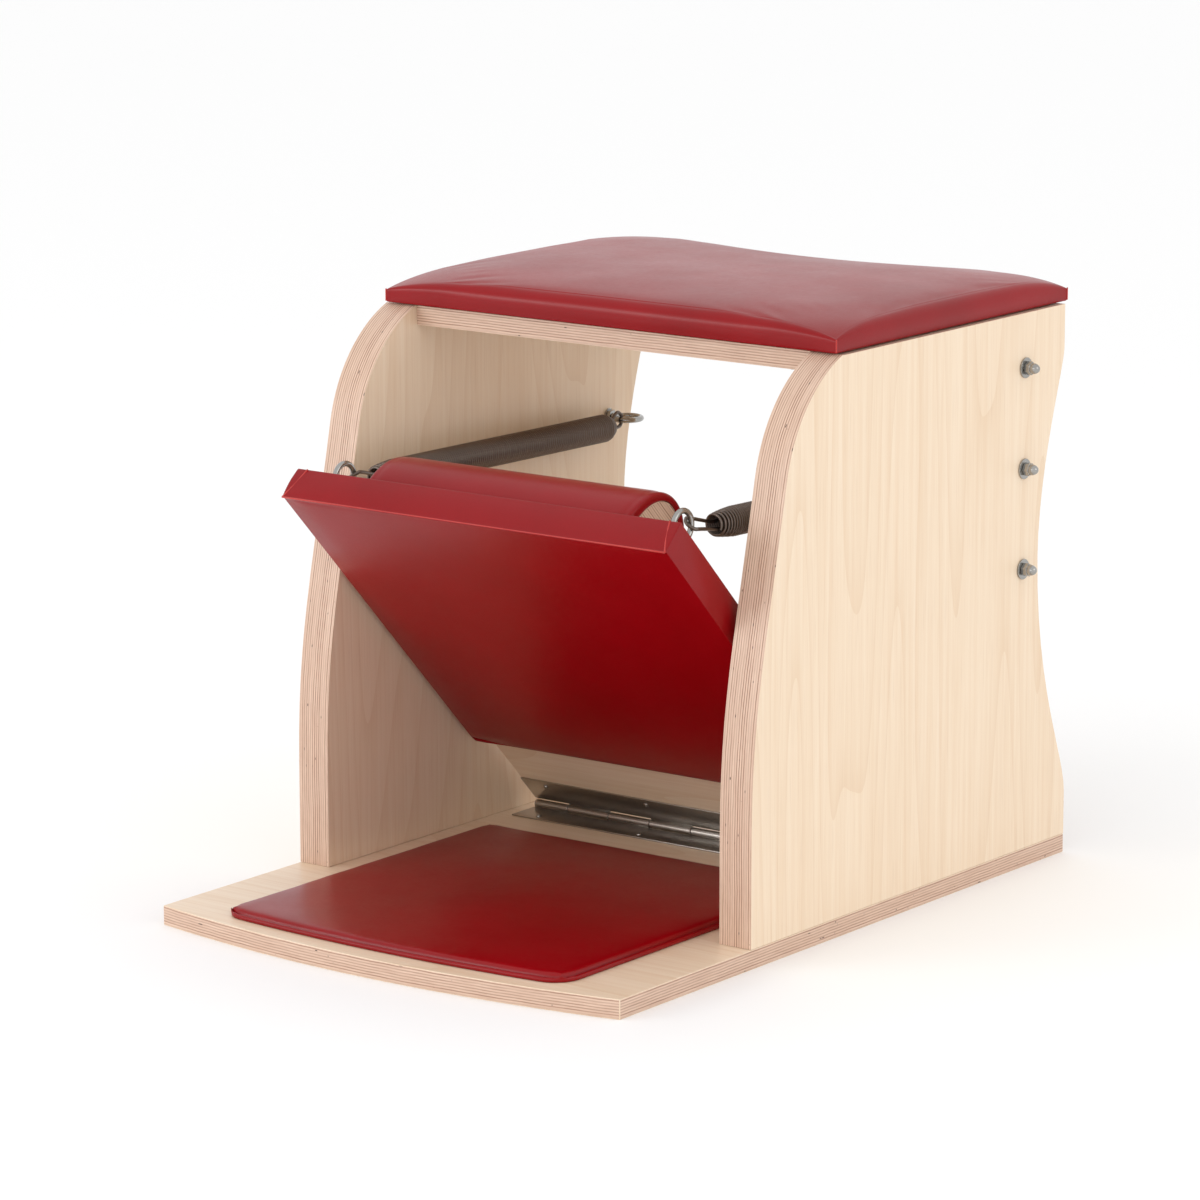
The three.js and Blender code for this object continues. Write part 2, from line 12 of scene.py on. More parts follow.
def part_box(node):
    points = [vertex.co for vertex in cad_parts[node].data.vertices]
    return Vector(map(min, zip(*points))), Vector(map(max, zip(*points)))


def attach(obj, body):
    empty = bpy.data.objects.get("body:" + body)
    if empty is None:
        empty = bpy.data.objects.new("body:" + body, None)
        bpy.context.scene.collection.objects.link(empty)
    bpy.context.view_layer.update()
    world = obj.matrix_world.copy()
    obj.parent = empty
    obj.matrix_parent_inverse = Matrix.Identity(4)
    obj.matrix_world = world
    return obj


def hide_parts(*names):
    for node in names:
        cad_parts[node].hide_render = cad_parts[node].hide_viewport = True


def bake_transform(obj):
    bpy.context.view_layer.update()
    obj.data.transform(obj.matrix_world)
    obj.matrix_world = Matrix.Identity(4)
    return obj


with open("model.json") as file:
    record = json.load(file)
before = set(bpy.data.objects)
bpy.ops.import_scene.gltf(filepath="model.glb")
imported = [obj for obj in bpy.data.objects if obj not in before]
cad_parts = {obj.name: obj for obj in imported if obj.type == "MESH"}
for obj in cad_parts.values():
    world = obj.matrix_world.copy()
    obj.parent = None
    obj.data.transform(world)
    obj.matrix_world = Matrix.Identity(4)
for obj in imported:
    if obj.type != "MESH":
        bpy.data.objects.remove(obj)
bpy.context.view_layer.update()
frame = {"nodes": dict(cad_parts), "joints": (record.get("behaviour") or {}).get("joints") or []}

MM = 0.001
SIDES = {"left": -1, "right": 1}
ROWS = ("bottom", "middle", "top")

# Sizes that several pieces share. The pedal's are in its own frame, where it lies flat:
# it runs along -Y from the hinge, and its back faces +Z.
PANEL_INNER, PANEL_OUTER, BOLT_END = 260 * MM, 300 * MM, 312 * MM
EYE_RADIUS, EYE_WIRE, BOLT_RADIUS = 15.9 * MM, 3.2 * MM, 3.9 * MM
NUT_FLATS = 13 * MM
HINGE_HALF = 240.7 * MM
PEDAL_TILT = math.radians(45.3)
PEDAL_HALF, PEDAL_REACH, PEDAL_FACE, PEDAL_BACK = 241 * MM, 589 * MM, 5.3 * MM, 26.6 * MM
PEDAL_EYE_X, PEDAL_EYE_Y, PEDAL_EYE_Z = 221.3 * MM, -556.8 * MM, 48.1 * MM
STEP_Y = -522 * MM
HIDE = 1.5 * MM
TOUCHING = 1e-6

joint_at = {j["name"]: Vector(j["pos_m"]) for j in frame["joints"] if "pos_m" in j}
hinge_line = joint_at["pedal_hinge"]
pedal_frame = Matrix.Translation(hinge_line) @ Matrix.Rotation(-PEDAL_TILT, 4, "X")


# ---- Camera, light and floor ----
def set_camera():
    camera = bpy.data.objects.new("camera", bpy.data.cameras.new("camera"))
    bpy.context.scene.collection.objects.link(camera)
    camera.location = (3.38442, -4.54379, 1.51742)
    camera.rotation_euler = [math.radians(angle) for angle in (78.072, 0.085, 36.829)]
    camera.data.lens = 162.63
    camera.data.sensor_width = 36
    camera.data.clip_start = 0.1
    camera.data.clip_end = 200
    bpy.context.scene.camera = camera


def soft_light(name, place, aim, size, power, tint=(1, 1, 1)):
    lamp = bpy.data.lights.new(name, "AREA")
    lamp.shape = "RECTANGLE"
    lamp.size, lamp.size_y = size
    lamp.energy = power
    lamp.color = tint
    light = bpy.data.objects.new(name, lamp)
    light.location = place
    light.rotation_euler = (Vector(aim) - Vector(place)).to_track_quat("-Z", "Y").to_euler()
    bpy.context.scene.collection.objects.link(light)


def light_studio():
    middle = (0, 0, 0.3)
    soft_light("right_box", (3.6, 0.2, 2.0), middle, (2.4, 2.0), 14)
    soft_light("front_box", (0.4, -4.0, 1.3), middle, (3.6, 0.7), 14)
    soft_light("front_left_box", (-2.7, -3.5, 1.5), middle, (2.4, 0.7), 36)
    world = bpy.data.worlds.new("studio")
    bpy.context.scene.world = world
    world.use_nodes = True
    tree = world.node_tree
    background = tree.nodes["Background"]
    direction = add(tree, "ShaderNodeTexCoord").outputs["Generated"]
    ramp = add(tree, "ShaderNodeValToRGB")
    for stop, place, tint in zip(ramp.color_ramp.elements, (0.2, 0.9), (1, 0.95)):
        stop.position = place
        stop.color = (tint, tint, tint, 1)
    tree.links.new(split_xyz(tree, direction)[2], ramp.inputs[0])
    tree.links.new(ramp.outputs["Color"], background.inputs["Color"])
    background.inputs["Strength"].default_value = 1.04
    bpy.context.scene.view_settings.view_transform = "Standard"


def lay_floor():
    ground = bmesh.new()
    bmesh.ops.create_grid(ground, x_segments=1, y_segments=1, size=60)
    floor = mesh_object("floor", ground, [floor_paint()])


# ---- Shader helpers ----
def add(tree, kind, **settings):
    node = tree.nodes.new(kind)
    for key, value in settings.items():
        setattr(node, key, value)
    return node


def feed(tree, socket, value):
    if isinstance(value, bpy.types.NodeSocket):
        tree.links.new(value, socket)
    else:
        socket.default_value = value


def calc(tree, operation, *values, clamp=False):
    node = add(tree, "ShaderNodeMath", operation=operation, use_clamp=clamp)
    for socket, value in zip(node.inputs, values):
        feed(tree, socket, value)
    return node.outputs[0]


def vector(tree, operation, *values):
    node = add(tree, "ShaderNodeVectorMath", operation=operation)
    for socket, value in zip(node.inputs, values):
        feed(tree, socket, value)
    return node.outputs["Vector"]


def split_xyz(tree, value):
    node = add(tree, "ShaderNodeSeparateXYZ")
    feed(tree, node.inputs[0], value)
    return node.outputs[0], node.outputs[1], node.outputs[2]


def join_xyz(tree, *values):
    node = add(tree, "ShaderNodeCombineXYZ")
    for socket, value in zip(node.inputs, values):
        feed(tree, socket, value)
    return node.outputs[0]


def cloud(tree, position, scale, detail, roughness=0.5):
    node = add(tree, "ShaderNodeTexNoise")
    feed(tree, node.inputs["Vector"], position)
    feed(tree, node.inputs["Scale"], scale)
    feed(tree, node.inputs["Detail"], detail)
    feed(tree, node.inputs["Roughness"], roughness)
    return node.outputs["Fac"]


def fit(tree, value, low, high, to_low=0.0, to_high=1.0, smooth=False):
    node = add(tree, "ShaderNodeMapRange")
    node.interpolation_type = "SMOOTHSTEP" if smooth else "LINEAR"
    for socket, number in zip(node.inputs, (value, low, high, to_low, to_high)):
        feed(tree, socket, number)
    return node.outputs[0]


def blend_colours(tree, share, first, second):
    node = add(tree, "ShaderNodeMix", data_type="RGBA")
    feed(tree, node.inputs["Factor"], share)
    feed(tree, node.inputs["A"], first)
    feed(tree, node.inputs["B"], second)
    return node.outputs["Result"]


def bump(tree, height, distance, strength):
    node = add(tree, "ShaderNodeBump")
    feed(tree, node.inputs["Height"], height)
    node.inputs["Distance"].default_value = distance
    node.inputs["Strength"].default_value = strength
    return node.outputs["Normal"]


def node_group(name, tree_kind, inputs, outputs):
    """A node group. Each input is a kind of socket, or the number that a plain one starts at.

    Returns the group, and inside it the sockets that its inputs come from and its outputs go to.
    """
    group = bpy.data.node_groups.new(name, tree_kind)
    for label, given in inputs.items():
        kind = given if isinstance(given, str) else "Float"
        socket = group.interface.new_socket(label, in_out="INPUT", socket_type="NodeSocket" + kind)
        if kind == "Float":
            socket.default_value = given
    for label, kind in outputs.items():
        group.interface.new_socket(label, in_out="OUTPUT", socket_type="NodeSocket" + kind)
    return group, group.nodes.new("NodeGroupInput").outputs, group.nodes.new("NodeGroupOutput").inputs


def shader_group(name, inputs, outputs):
    """A shader node group on a position, with numbers in and out."""
    given = {"Position": "Vector", **inputs}
    return node_group(name, "ShaderNodeTree", given, dict.fromkeys(outputs, "Float"))


def use_group(tree, group, **values):
    node = add(tree, "ShaderNodeGroup", node_tree=group)
    for label, value in values.items():
        feed(tree, node.inputs[label.replace("_", " ")], value)
    return node


def new_material(name, **settings):
    """A Principled material with its constant values set. Returns it, its tree and its shader."""
    material = bpy.data.materials.new(name)
    material.use_nodes = True
    shader = material.node_tree.nodes["Principled BSDF"]
    for label, value in settings.items():
        shader.inputs[label.replace("_", " ")].default_value = value
    return material, material.node_tree, shader


def object_position(tree, turn=None):
    """Object coordinates, turned so that a pattern's own axes follow the piece."""
    place = add(tree, "ShaderNodeTexCoord").outputs["Object"]
    if turn is None:
        return place
    mapping = add(tree, "ShaderNodeMapping")
    mapping.inputs["Rotation"].default_value = turn.to_euler()
    tree.links.new(place, mapping.inputs["Vector"])
    return mapping.outputs["Vector"]


def shade(r, g, b):
    """A colour given as it looks on screen, 0 to 255, for a shader socket."""
    linear = [c / 255 / 12.92 if c <= 10 else ((c / 255 + 0.055) / 1.055) ** 2.4 for c in (r, g, b)]
    return (*linear, 1.0)


# ---- Shared effects ----
def make_wood_figure():
    """Plain-sawn figure, with the grain along Y: growth arcs and fine pores."""
    group, given, result = shader_group("wood figure", {"Ring Count": 9.0}, ("Growth", "Pores", "Tone"))
    position = given["Position"]
    stretched = vector(group, "MULTIPLY", position, (7.0, 0.6, 7.0))
    swell = cloud(group, stretched, 1.0, 1.5, 0.35)
    rings = calc(group, "FRACT", calc(group, "MULTIPLY", swell, given["Ring Count"]))
    late = calc(group, "POWER", rings, 4.0)
    fine = vector(group, "MULTIPLY", position, (900.0, 14.0, 900.0))
    streaks = vector(group, "MULTIPLY", position, (150.0, 3.0, 150.0))
    group.links.new(late, result["Growth"])
    group.links.new(cloud(group, fine, 1.0, 2.0), result["Pores"])
    group.links.new(cloud(group, streaks, 1.0, 3.0, 0.6), result["Tone"])
    return group


def make_ply_stack():
    """Plies seen at a cut edge, stacked along Z from its zero: every other one is end grain."""
    group, given, result = shader_group("ply stack", {"Ply": 1.45 * MM}, ("End Grain", "Tone", "Void"))
    x, y, z = split_xyz(group, given["Position"])
    waver = calc(group, "MULTIPLY", cloud(group, given["Position"], 30.0, 2.0), 0.9)
    depth = calc(group, "ADD", calc(group, "DIVIDE", z, given["Ply"]), waver)
    layer = calc(group, "FLOOR", depth)
    within = calc(group, "FRACT", depth)
    odd = calc(group, "MODULO", calc(group, "ABSOLUTE", layer), 2.0)
    edge = calc(group, "ABSOLUTE", calc(group, "SUBTRACT", within, 0.5))
    glue = fit(group, edge, 0.4, 0.5)
    own = calc(group, "MULTIPLY", layer, 3.7)
    lot = add(group, "ShaderNodeTexWhiteNoise", noise_dimensions="1D")
    group.links.new(layer, lot.inputs["W"])
    strength = fit(group, lot.outputs["Value"], 0.0, 1.0, 0.15, 1.0)
    slim = fit(group, edge, 0.28, 0.46, 1.0, 0.0, smooth=True)
    dark_ply = calc(group, "MULTIPLY", calc(group, "MULTIPLY", odd, slim), strength)
    along = join_xyz(group, calc(group, "MULTIPLY", x, 26.0), calc(group, "MULTIPLY", y, 26.0), own)
    patch = cloud(group, along, 1.0, 3.0, 0.6)
    short = join_xyz(group, calc(group, "MULTIPLY", x, 95.0), calc(group, "MULTIPLY", y, 95.0), own)
    hole = fit(group, cloud(group, short, 1.0, 1.0), 0.74, 0.79)
    core = fit(group, edge, 0.25, 0.4, 1.0, 0.0)
    dark_glue = calc(group, "MULTIPLY", glue, 0.45)
    group.links.new(dark_ply, result["End Grain"])
    group.links.new(calc(group, "SUBTRACT", patch, dark_glue), result["Tone"])
    group.links.new(calc(group, "MULTIPLY", hole, core), result["Void"])
    return group


def make_handling():
    """Soft blotches and fine scuffs that vary how shiny a surface is."""
    group, given, result = shader_group("handling", {"Base": 0.4, "Spread": 0.1}, ("Roughness", "Scuff"))
    broad = cloud(group, given["Position"], 9.0, 4.0, 0.6)
    narrow = cloud(group, given["Position"], 160.0, 2.0)
    scuff = fit(group, calc(group, "ADD", calc(group, "MULTIPLY", narrow, 0.35), broad), 0.3, 1.05)
    swing = calc(group, "MULTIPLY", calc(group, "SUBTRACT", scuff, 0.4), given["Spread"])
    value = calc(group, "ADD", given["Base"], swing, clamp=True)
    group.links.new(value, result["Roughness"])
    group.links.new(scuff, result["Scuff"])
    return group


def make_hide_grain():
    """Upholstery leather: rounded cells about a millimetre across with finer creases between."""
    group, given, result = shader_group("hide grain", {"Cell": 1.0 * MM}, ("Height", "Mottle"))
    position = given["Position"]
    size = calc(group, "DIVIDE", 1.0, given["Cell"])
    wobble = add(group, "ShaderNodeTexNoise")
    group.links.new(position, wobble.inputs["Vector"])
    wobble.inputs["Scale"].default_value = 420.0
    nudge = vector(group, "SCALE", wobble.outputs["Color"])
    nudge.node.inputs["Scale"].default_value = 0.9 * MM
    cells = add(group, "ShaderNodeTexVoronoi", feature="SMOOTH_F1")
    group.links.new(vector(group, "ADD", position, nudge), cells.inputs["Vector"])
    group.links.new(size, cells.inputs["Scale"])
    cells.inputs["Smoothness"].default_value = 0.6
    fine = cloud(group, position, 2600.0, 2.0)
    height = calc(group, "SUBTRACT", calc(group, "MULTIPLY", fine, 0.25), cells.outputs["Distance"])
    group.links.new(height, result["Height"])
    group.links.new(cloud(group, position, 7.0, 4.0, 0.6), result["Mottle"])
    return group


wood_figure = make_wood_figure()
ply_stack = make_ply_stack()
handling = make_handling()
hide_grain = make_hide_grain()


# ---- Finishes ----
def floor_paint():
    material, _, _ = new_material("floor paint", Base_Color=(0.97, 0.97, 0.97, 1), Roughness=0.8)
    return material


def maple_veneer(name, turn):
    """Pale maple under clear lacquer. turn brings the grain to Y and the thickness to Z."""
    material, tree, shader = new_material(name, Coat_Weight=0.25, Coat_Roughness=0.3, IOR=1.5)
    position = object_position(tree, turn)
    figure = use_group(tree, wood_figure, Position=position, Ring_Count=17.0)
    shine = use_group(tree, handling, Position=position, Base=0.42, Spread=0.12)
    arcs = calc(tree, "MULTIPLY", figure.outputs["Growth"], 0.4)
    colour = blend_colours(tree, arcs, shade(238, 217, 191), shade(219, 187, 152))
    tone = fit(tree, figure.outputs["Tone"], 0.35, 0.75, 0.0, 0.5)
    colour = blend_colours(tree, tone, colour, shade(224, 193, 158))
    pores = fit(tree, figure.outputs["Pores"], 0.56, 0.78, 0.0, 0.22)
    colour = blend_colours(tree, pores, colour, shade(186, 146, 108))
    tree.links.new(colour, shader.inputs["Base Color"])
    tree.links.new(shine.outputs["Roughness"], shader.inputs["Roughness"])
    normal = bump(tree, figure.outputs["Pores"], 0.06 * MM, 0.5)
    tree.links.new(normal, shader.inputs["Normal"])
    return material


def ply_edge(name, turn, zero):
    """The sanded and lacquered edge of the plywood. zero is a point on one face of the board."""
    material, tree, shader = new_material(name, Coat_Weight=0.2, Coat_Roughness=0.35, IOR=1.5)
    position = object_position(tree, turn)
    start = turn @ Vector(zero)
    stack = use_group(tree, ply_stack, Position=vector(tree, "SUBTRACT", position, tuple(start)))
    tone = fit(tree, stack.outputs["Tone"], 0.1, 0.75)
    long_grain = blend_colours(tree, tone, shade(198, 163, 140), shade(227, 198, 176))
    end_grain = blend_colours(tree, tone, shade(122, 80, 62), shade(176, 134, 112))
    colour = blend_colours(tree, stack.outputs["End Grain"], long_grain, end_grain)
    colour = blend_colours(tree, stack.outputs["Void"], colour, shade(62, 40, 30))
    tree.links.new(colour, shader.inputs["Base Color"])
    rough = fit(tree, stack.outputs["End Grain"], 0.0, 1.0, 0.42, 0.6)
    tree.links.new(rough, shader.inputs["Roughness"])
    height = calc(tree, "SUBTRACT", tone, calc(tree, "MULTIPLY", stack.outputs["Void"], 4.0))
    tree.links.new(bump(tree, height, 0.12 * MM, 0.6), shader.inputs["Normal"])
    return material


def red_hide(name, rough, dark, light, crease):
    """Smooth red upholstery leather with a soft sheen: its two tones drift, and painted shade darkens its
    grain's valleys to the crease colour.
    """
    material, tree, shader = new_material(name, IOR=1.3, Coat_Weight=0.1, Coat_Roughness=0.2)
    position = object_position(tree)
    grain = use_group(tree, hide_grain, Position=position)
    wear = use_group(tree, handling, Position=position, Base=rough, Spread=0.14)
    mottle = fit(tree, grain.outputs["Mottle"], 0.3, 0.7)
    colour = blend_colours(tree, mottle, dark, light)
    # Painted shade: the valleys between the grain's cells darken towards the crease colour.
    valley_shade = fit(tree, grain.outputs["Height"], -0.75, -0.15, 0.22, 0.0)
    colour = blend_colours(tree, valley_shade, colour, crease)
    tree.links.new(colour, shader.inputs["Base Color"])
    tree.links.new(wear.outputs["Roughness"], shader.inputs["Roughness"])
    tree.links.new(bump(tree, grain.outputs["Height"], 0.12 * MM, 0.45), shader.inputs["Normal"])
    return material


def metal(name, colour, dull, rough, brushed=(0, 0, 0), dirt=0.25):
    """Bare or plated metal. brushed stretches its fine lines along an axis."""
    material, tree, shader = new_material(name, Metallic=1.0)
    position = object_position(tree)
    wear = use_group(tree, handling, Position=position, Base=rough, Spread=0.1)
    dark = calc(tree, "MULTIPLY", wear.outputs["Scuff"], dirt)
    tree.links.new(blend_colours(tree, dark, colour, dull), shader.inputs["Base Color"])
    tree.links.new(wear.outputs["Roughness"], shader.inputs["Roughness"])
    if any(brushed):
        marks, strength = cloud(tree, vector(tree, "MULTIPLY", position, brushed), 1.0, 3.0), 0.25
    else:
        marks, strength = cloud(tree, position, 900.0, 3.0), 0.4
    tree.links.new(bump(tree, marks, 0.02 * MM, strength), shader.inputs["Normal"])
    return material


# ---- Mesh helpers ----
def mesh_object(name, bm, materials=()):
    mesh = bpy.data.meshes.new(name)
    bm.to_mesh(mesh)
    bm.free()
    for material in materials:
        mesh.materials.append(material)
    piece = bpy.data.objects.new(name, mesh)
    bpy.context.scene.collection.objects.link(piece)
    return piece


def from_faces(points, faces):
    bm = bmesh.new()
    corners = [bm.verts.new(p) for p in points]
    for face in faces:
        bm.faces.new([corners[i] for i in face])
    return bm


def smooth(bm):
    for face in bm.faces:
        face.smooth = True
    return bm


def bake_modifiers(piece):
    """Turns the piece into the plain mesh that its modifiers make."""
    graph = bpy.context.evaluated_depsgraph_get()
    made = bpy.data.meshes.new_from_object(piece.evaluated_get(graph), depsgraph=graph)
    piece.modifiers.clear()
    piece.data = made
    return piece


def settle(piece, body, slot, *nodes):
    """Ties a finished piece to its body and hides the plain solids it stands for; slot, its finish, is not
    used.
    """
    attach(piece, body)
    if nodes:
        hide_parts(*nodes)
    return piece


def coordinates(piece):
    values = np.empty(len(piece.data.vertices) * 3)
    piece.data.vertices.foreach_get("co", values)
    return values.reshape(-1, 3)


def lathe(profile, sides):
    """A turned piece about Z from (radius, height) points that start and end on the axis, or close up."""
    bm = bmesh.new()
    rings = []
    for radius, height in profile:
        if radius == 0:
            rings.append([bm.verts.new((0, 0, height))])
            continue
        angles = [2 * math.pi * i / sides for i in range(sides)]
        rings.append([bm.verts.new((radius * math.cos(a), radius * math.sin(a), height)) for a in angles])
    for below, above in zip(rings, rings[1:]):
        for i in range(sides):
            j = (i + 1) % sides
            corners = ((below, i), (below, j), (above, j), (above, i))
            bm.faces.new(dict.fromkeys(ring[n % len(ring)] for ring, n in corners))
    bmesh.ops.remove_doubles(bm, verts=bm.verts, dist=0.001 * MM)
    bmesh.ops.recalc_face_normals(bm, faces=bm.faces)
    return smooth(bm)


def bent_wire(points, radius, sides=12, closed=False):
    """A round wire through the points, which lie close enough together to look smooth."""
    path = [Vector(p) for p in points]
    count = len(path)
    ahead = [path[(i + 1) % count] if closed else path[min(i + 1, count - 1)] for i in range(count)]
    behind = [path[i - 1] if closed else path[max(i - 1, 0)] for i in range(count)]
    heading = [(a - b).normalized() for a, b in zip(ahead, behind)]
    across = heading[0].orthogonal().normalized()
    bm = bmesh.new()
    rings = []
    for centre, forward in zip(path, heading):
        across = (across - forward * across.dot(forward)).normalized()
        up = forward.cross(across)
        ring = []
        for i in range(sides):
            a = 2 * math.pi * i / sides
            ring.append(bm.verts.new(centre + radius * (math.cos(a) * across + math.sin(a) * up)))
        rings.append(ring)
    pairs = list(zip(rings, rings[1:]))
    if closed:
        pairs.append((rings[-1], rings[0]))
    for first, second in pairs:
        for i in range(sides):
            j = (i + 1) % sides
            bm.faces.new((first[i], first[j], second[j], second[i]))
    if not closed:
        bm.faces.new(list(reversed(rings[0])))
        bm.faces.new(rings[-1])
    return smooth(bm)


def through(points, steps):
    """A smooth line through a few points, with that many steps between each two."""
    points = [Vector(p) for p in points]
    ends = [2 * points[0] - points[1], *points, 2 * points[-1] - points[-2]]
    line = []
    for a, b, c, d in zip(ends, ends[1:], ends[2:], ends[3:]):
        for i in range(steps):
            t = i / steps
            line.append(0.5 * (2 * b + (c - a) * t + (2 * a - 5 * b + 4 * c - d) * t * t
                               + (3 * b - a - 3 * c + d) * t ** 3))
    return [*line, points[-1]]


# ---- Plywood boards ----
def board(node, body, thickness_axis, grain_axis, radius=1.1 * MM):
    """A board with eased edges: veneer on its two faces, plies on its cut edges."""
    bm = bmesh.new()
    bm.from_mesh(frame["nodes"][node].data)
    bmesh.ops.remove_doubles(bm, verts=bm.verts, dist=0.001 * MM)
    bmesh.ops.dissolve_limit(bm, angle_limit=math.radians(0.3), verts=bm.verts, edges=bm.edges)
    up, along = Vector(thickness_axis).normalized(), Vector(grain_axis).normalized()
    for face in bm.faces:
        face.material_index = 0 if abs(face.normal.dot(up)) > 0.7 else 1
    sharp = [e for e in bm.edges if e.is_manifold and e.calc_face_angle() > math.radians(30)]
    bmesh.ops.bevel(
        bm, geom=sharp, offset=radius, segments=3, profile=0.5, affect="EDGES", clamp_overlap=True
    )
    low = min(vertex.co.dot(up) for vertex in bm.verts)
    turn = Matrix((along.cross(up), along, up))
    skins = [maple_veneer(node + " veneer", turn), ply_edge(node + " edge", turn, up * low)]
    piece = mesh_object(node + "_eased", smooth(bm), skins)
    normals = piece.modifiers.new("even", "WEIGHTED_NORMAL")
    normals.keep_sharp = True
    bake_modifiers(piece)
    return settle(piece, body, "maple_ply", node)


def make_boards():
    pedal_up = pedal_frame.to_3x3() @ Vector((0, 0, 1))
    for side in SIDES:
        board("side_panel_" + side, "frame", (1, 0, 0), (0, 0, 1))
    board("base_board", "frame", (0, 0, 1), (1, 0, 0))
    board("seat_board", "frame", (0, 0, 1), (1, 0, 0))
    board("pedal_board", "pedal", pedal_up, (1, 0, 0))
    board("pedal_step_block", "pedal", pedal_up, (1, 0, 0), 0.8 * MM)


# ---- Upholstery ----
def stations(low, high, step, ends):
    """Grid lines from low to high about a step apart, and closer ones at these distances from both ends."""
    first, last = low + ends[-1], high - ends[-1]
    count = max(1, round((last - first) / step))
    middle = [first + (last - first) * i / count for i in range(count + 1)]
    return [low, *[low + d for d in ends[:-1]], *middle, *[high - d for d in reversed(ends[:-1])], high]


def box_grid(xs, ys, zs):
    """Quads over a box, with lines at the given stations. Returns points, faces and the points' indices."""
    index, points, faces = {}, [], []
    last = [len(xs) - 1, len(ys) - 1, len(zs) - 1]

    def corner(steps):
        at = steps[0], steps[1], steps[2]
        if at not in index:
            index[at] = len(points)
            points.append((xs[at[0]], ys[at[1]], zs[at[2]]))
        return index[at]

    # Two axes that a pair of opposite sides spans, their third axis, and where on it the two lie.
    for a, b, c, ends in ((0, 1, 2, (last[2], 0)), (0, 2, 1, (0, last[1])), (1, 2, 0, (last[0], 0))):
        for i in range(last[a]):
            for j in range(last[b]):
                quad = [(i, j), (i + 1, j), (i + 1, j + 1), (i, j + 1)]
                faces.append([corner({a: u, b: v, c: ends[0]}) for u, v in quad])
                faces.append([corner({a: u, b: v, c: ends[1]}) for u, v in reversed(quad)])
    return points, faces, index


def rise(distance, reach):
    return 1 - math.exp(-max(distance, 0.0) / reach)


def inflate(piece, pressure, cap, grip):
    """Swells the piece as cloth under pressure, no point further than cap. grip is 1 where it is held."""
    rest = coordinates(piece)
    held = piece.vertex_groups.new(name="held")
    for i, weight in enumerate(grip):
        held.add([i], float(weight), "REPLACE")
    cloth = piece.modifiers.new("swell", "CLOTH")
    settings = {"quality": 6, "mass": 0.3, "tension_stiffness": 12, "compression_stiffness": 12,
                "shear_stiffness": 4, "bending_stiffness": 0.4, "use_pressure": True,
                "uniform_pressure_force": pressure, "vertex_group_mass": "held"}
    for key, value in settings.items():
        setattr(cloth.settings, key, value)
    cloth.settings.effector_weights.gravity = 0
    cloth.collision_settings.use_collision = False
    scene = bpy.context.scene
    for step in range(1, 21):
        scene.frame_set(step)
    graph = bpy.context.evaluated_depsgraph_get()
    swollen = piece.evaluated_get(graph).to_mesh()
    moved = np.empty(len(swollen.vertices) * 3)
    swollen.vertices.foreach_get("co", moved)
    shift = moved.reshape(-1, 3) - rest
    piece.evaluated_get(graph).to_mesh_clear()
    piece.modifiers.remove(cloth)
    scene.frame_set(1)
    length = np.linalg.norm(shift, axis=1)
    share = cap * np.tanh(length / cap) / np.maximum(length, 1e-9)
    piece.data.vertices.foreach_set("co", (rest + shift * share[:, None]).ravel())
    piece.data.update()


def refine(piece):
    finer = piece.modifiers.new("finer", "SUBSURF")
    finer.levels = 1
    finer.render_levels = 1
    bake_modifiers(piece)


def mark_seams(piece, is_seam, sharpness=1.0):
    """Creases the edges whose two ends are both seam points."""
    bm = bmesh.new()
    bm.from_mesh(piece.data)
    crease = bm.edges.layers.float.get("crease_edge") or bm.edges.layers.float.new("crease_edge")
    for edge in bm.edges:
        a, b = edge.verts
        if is_seam(a.index, b.index):
            edge[crease] = sharpness
    bm.to_mesh(piece.data)
    bm.free()


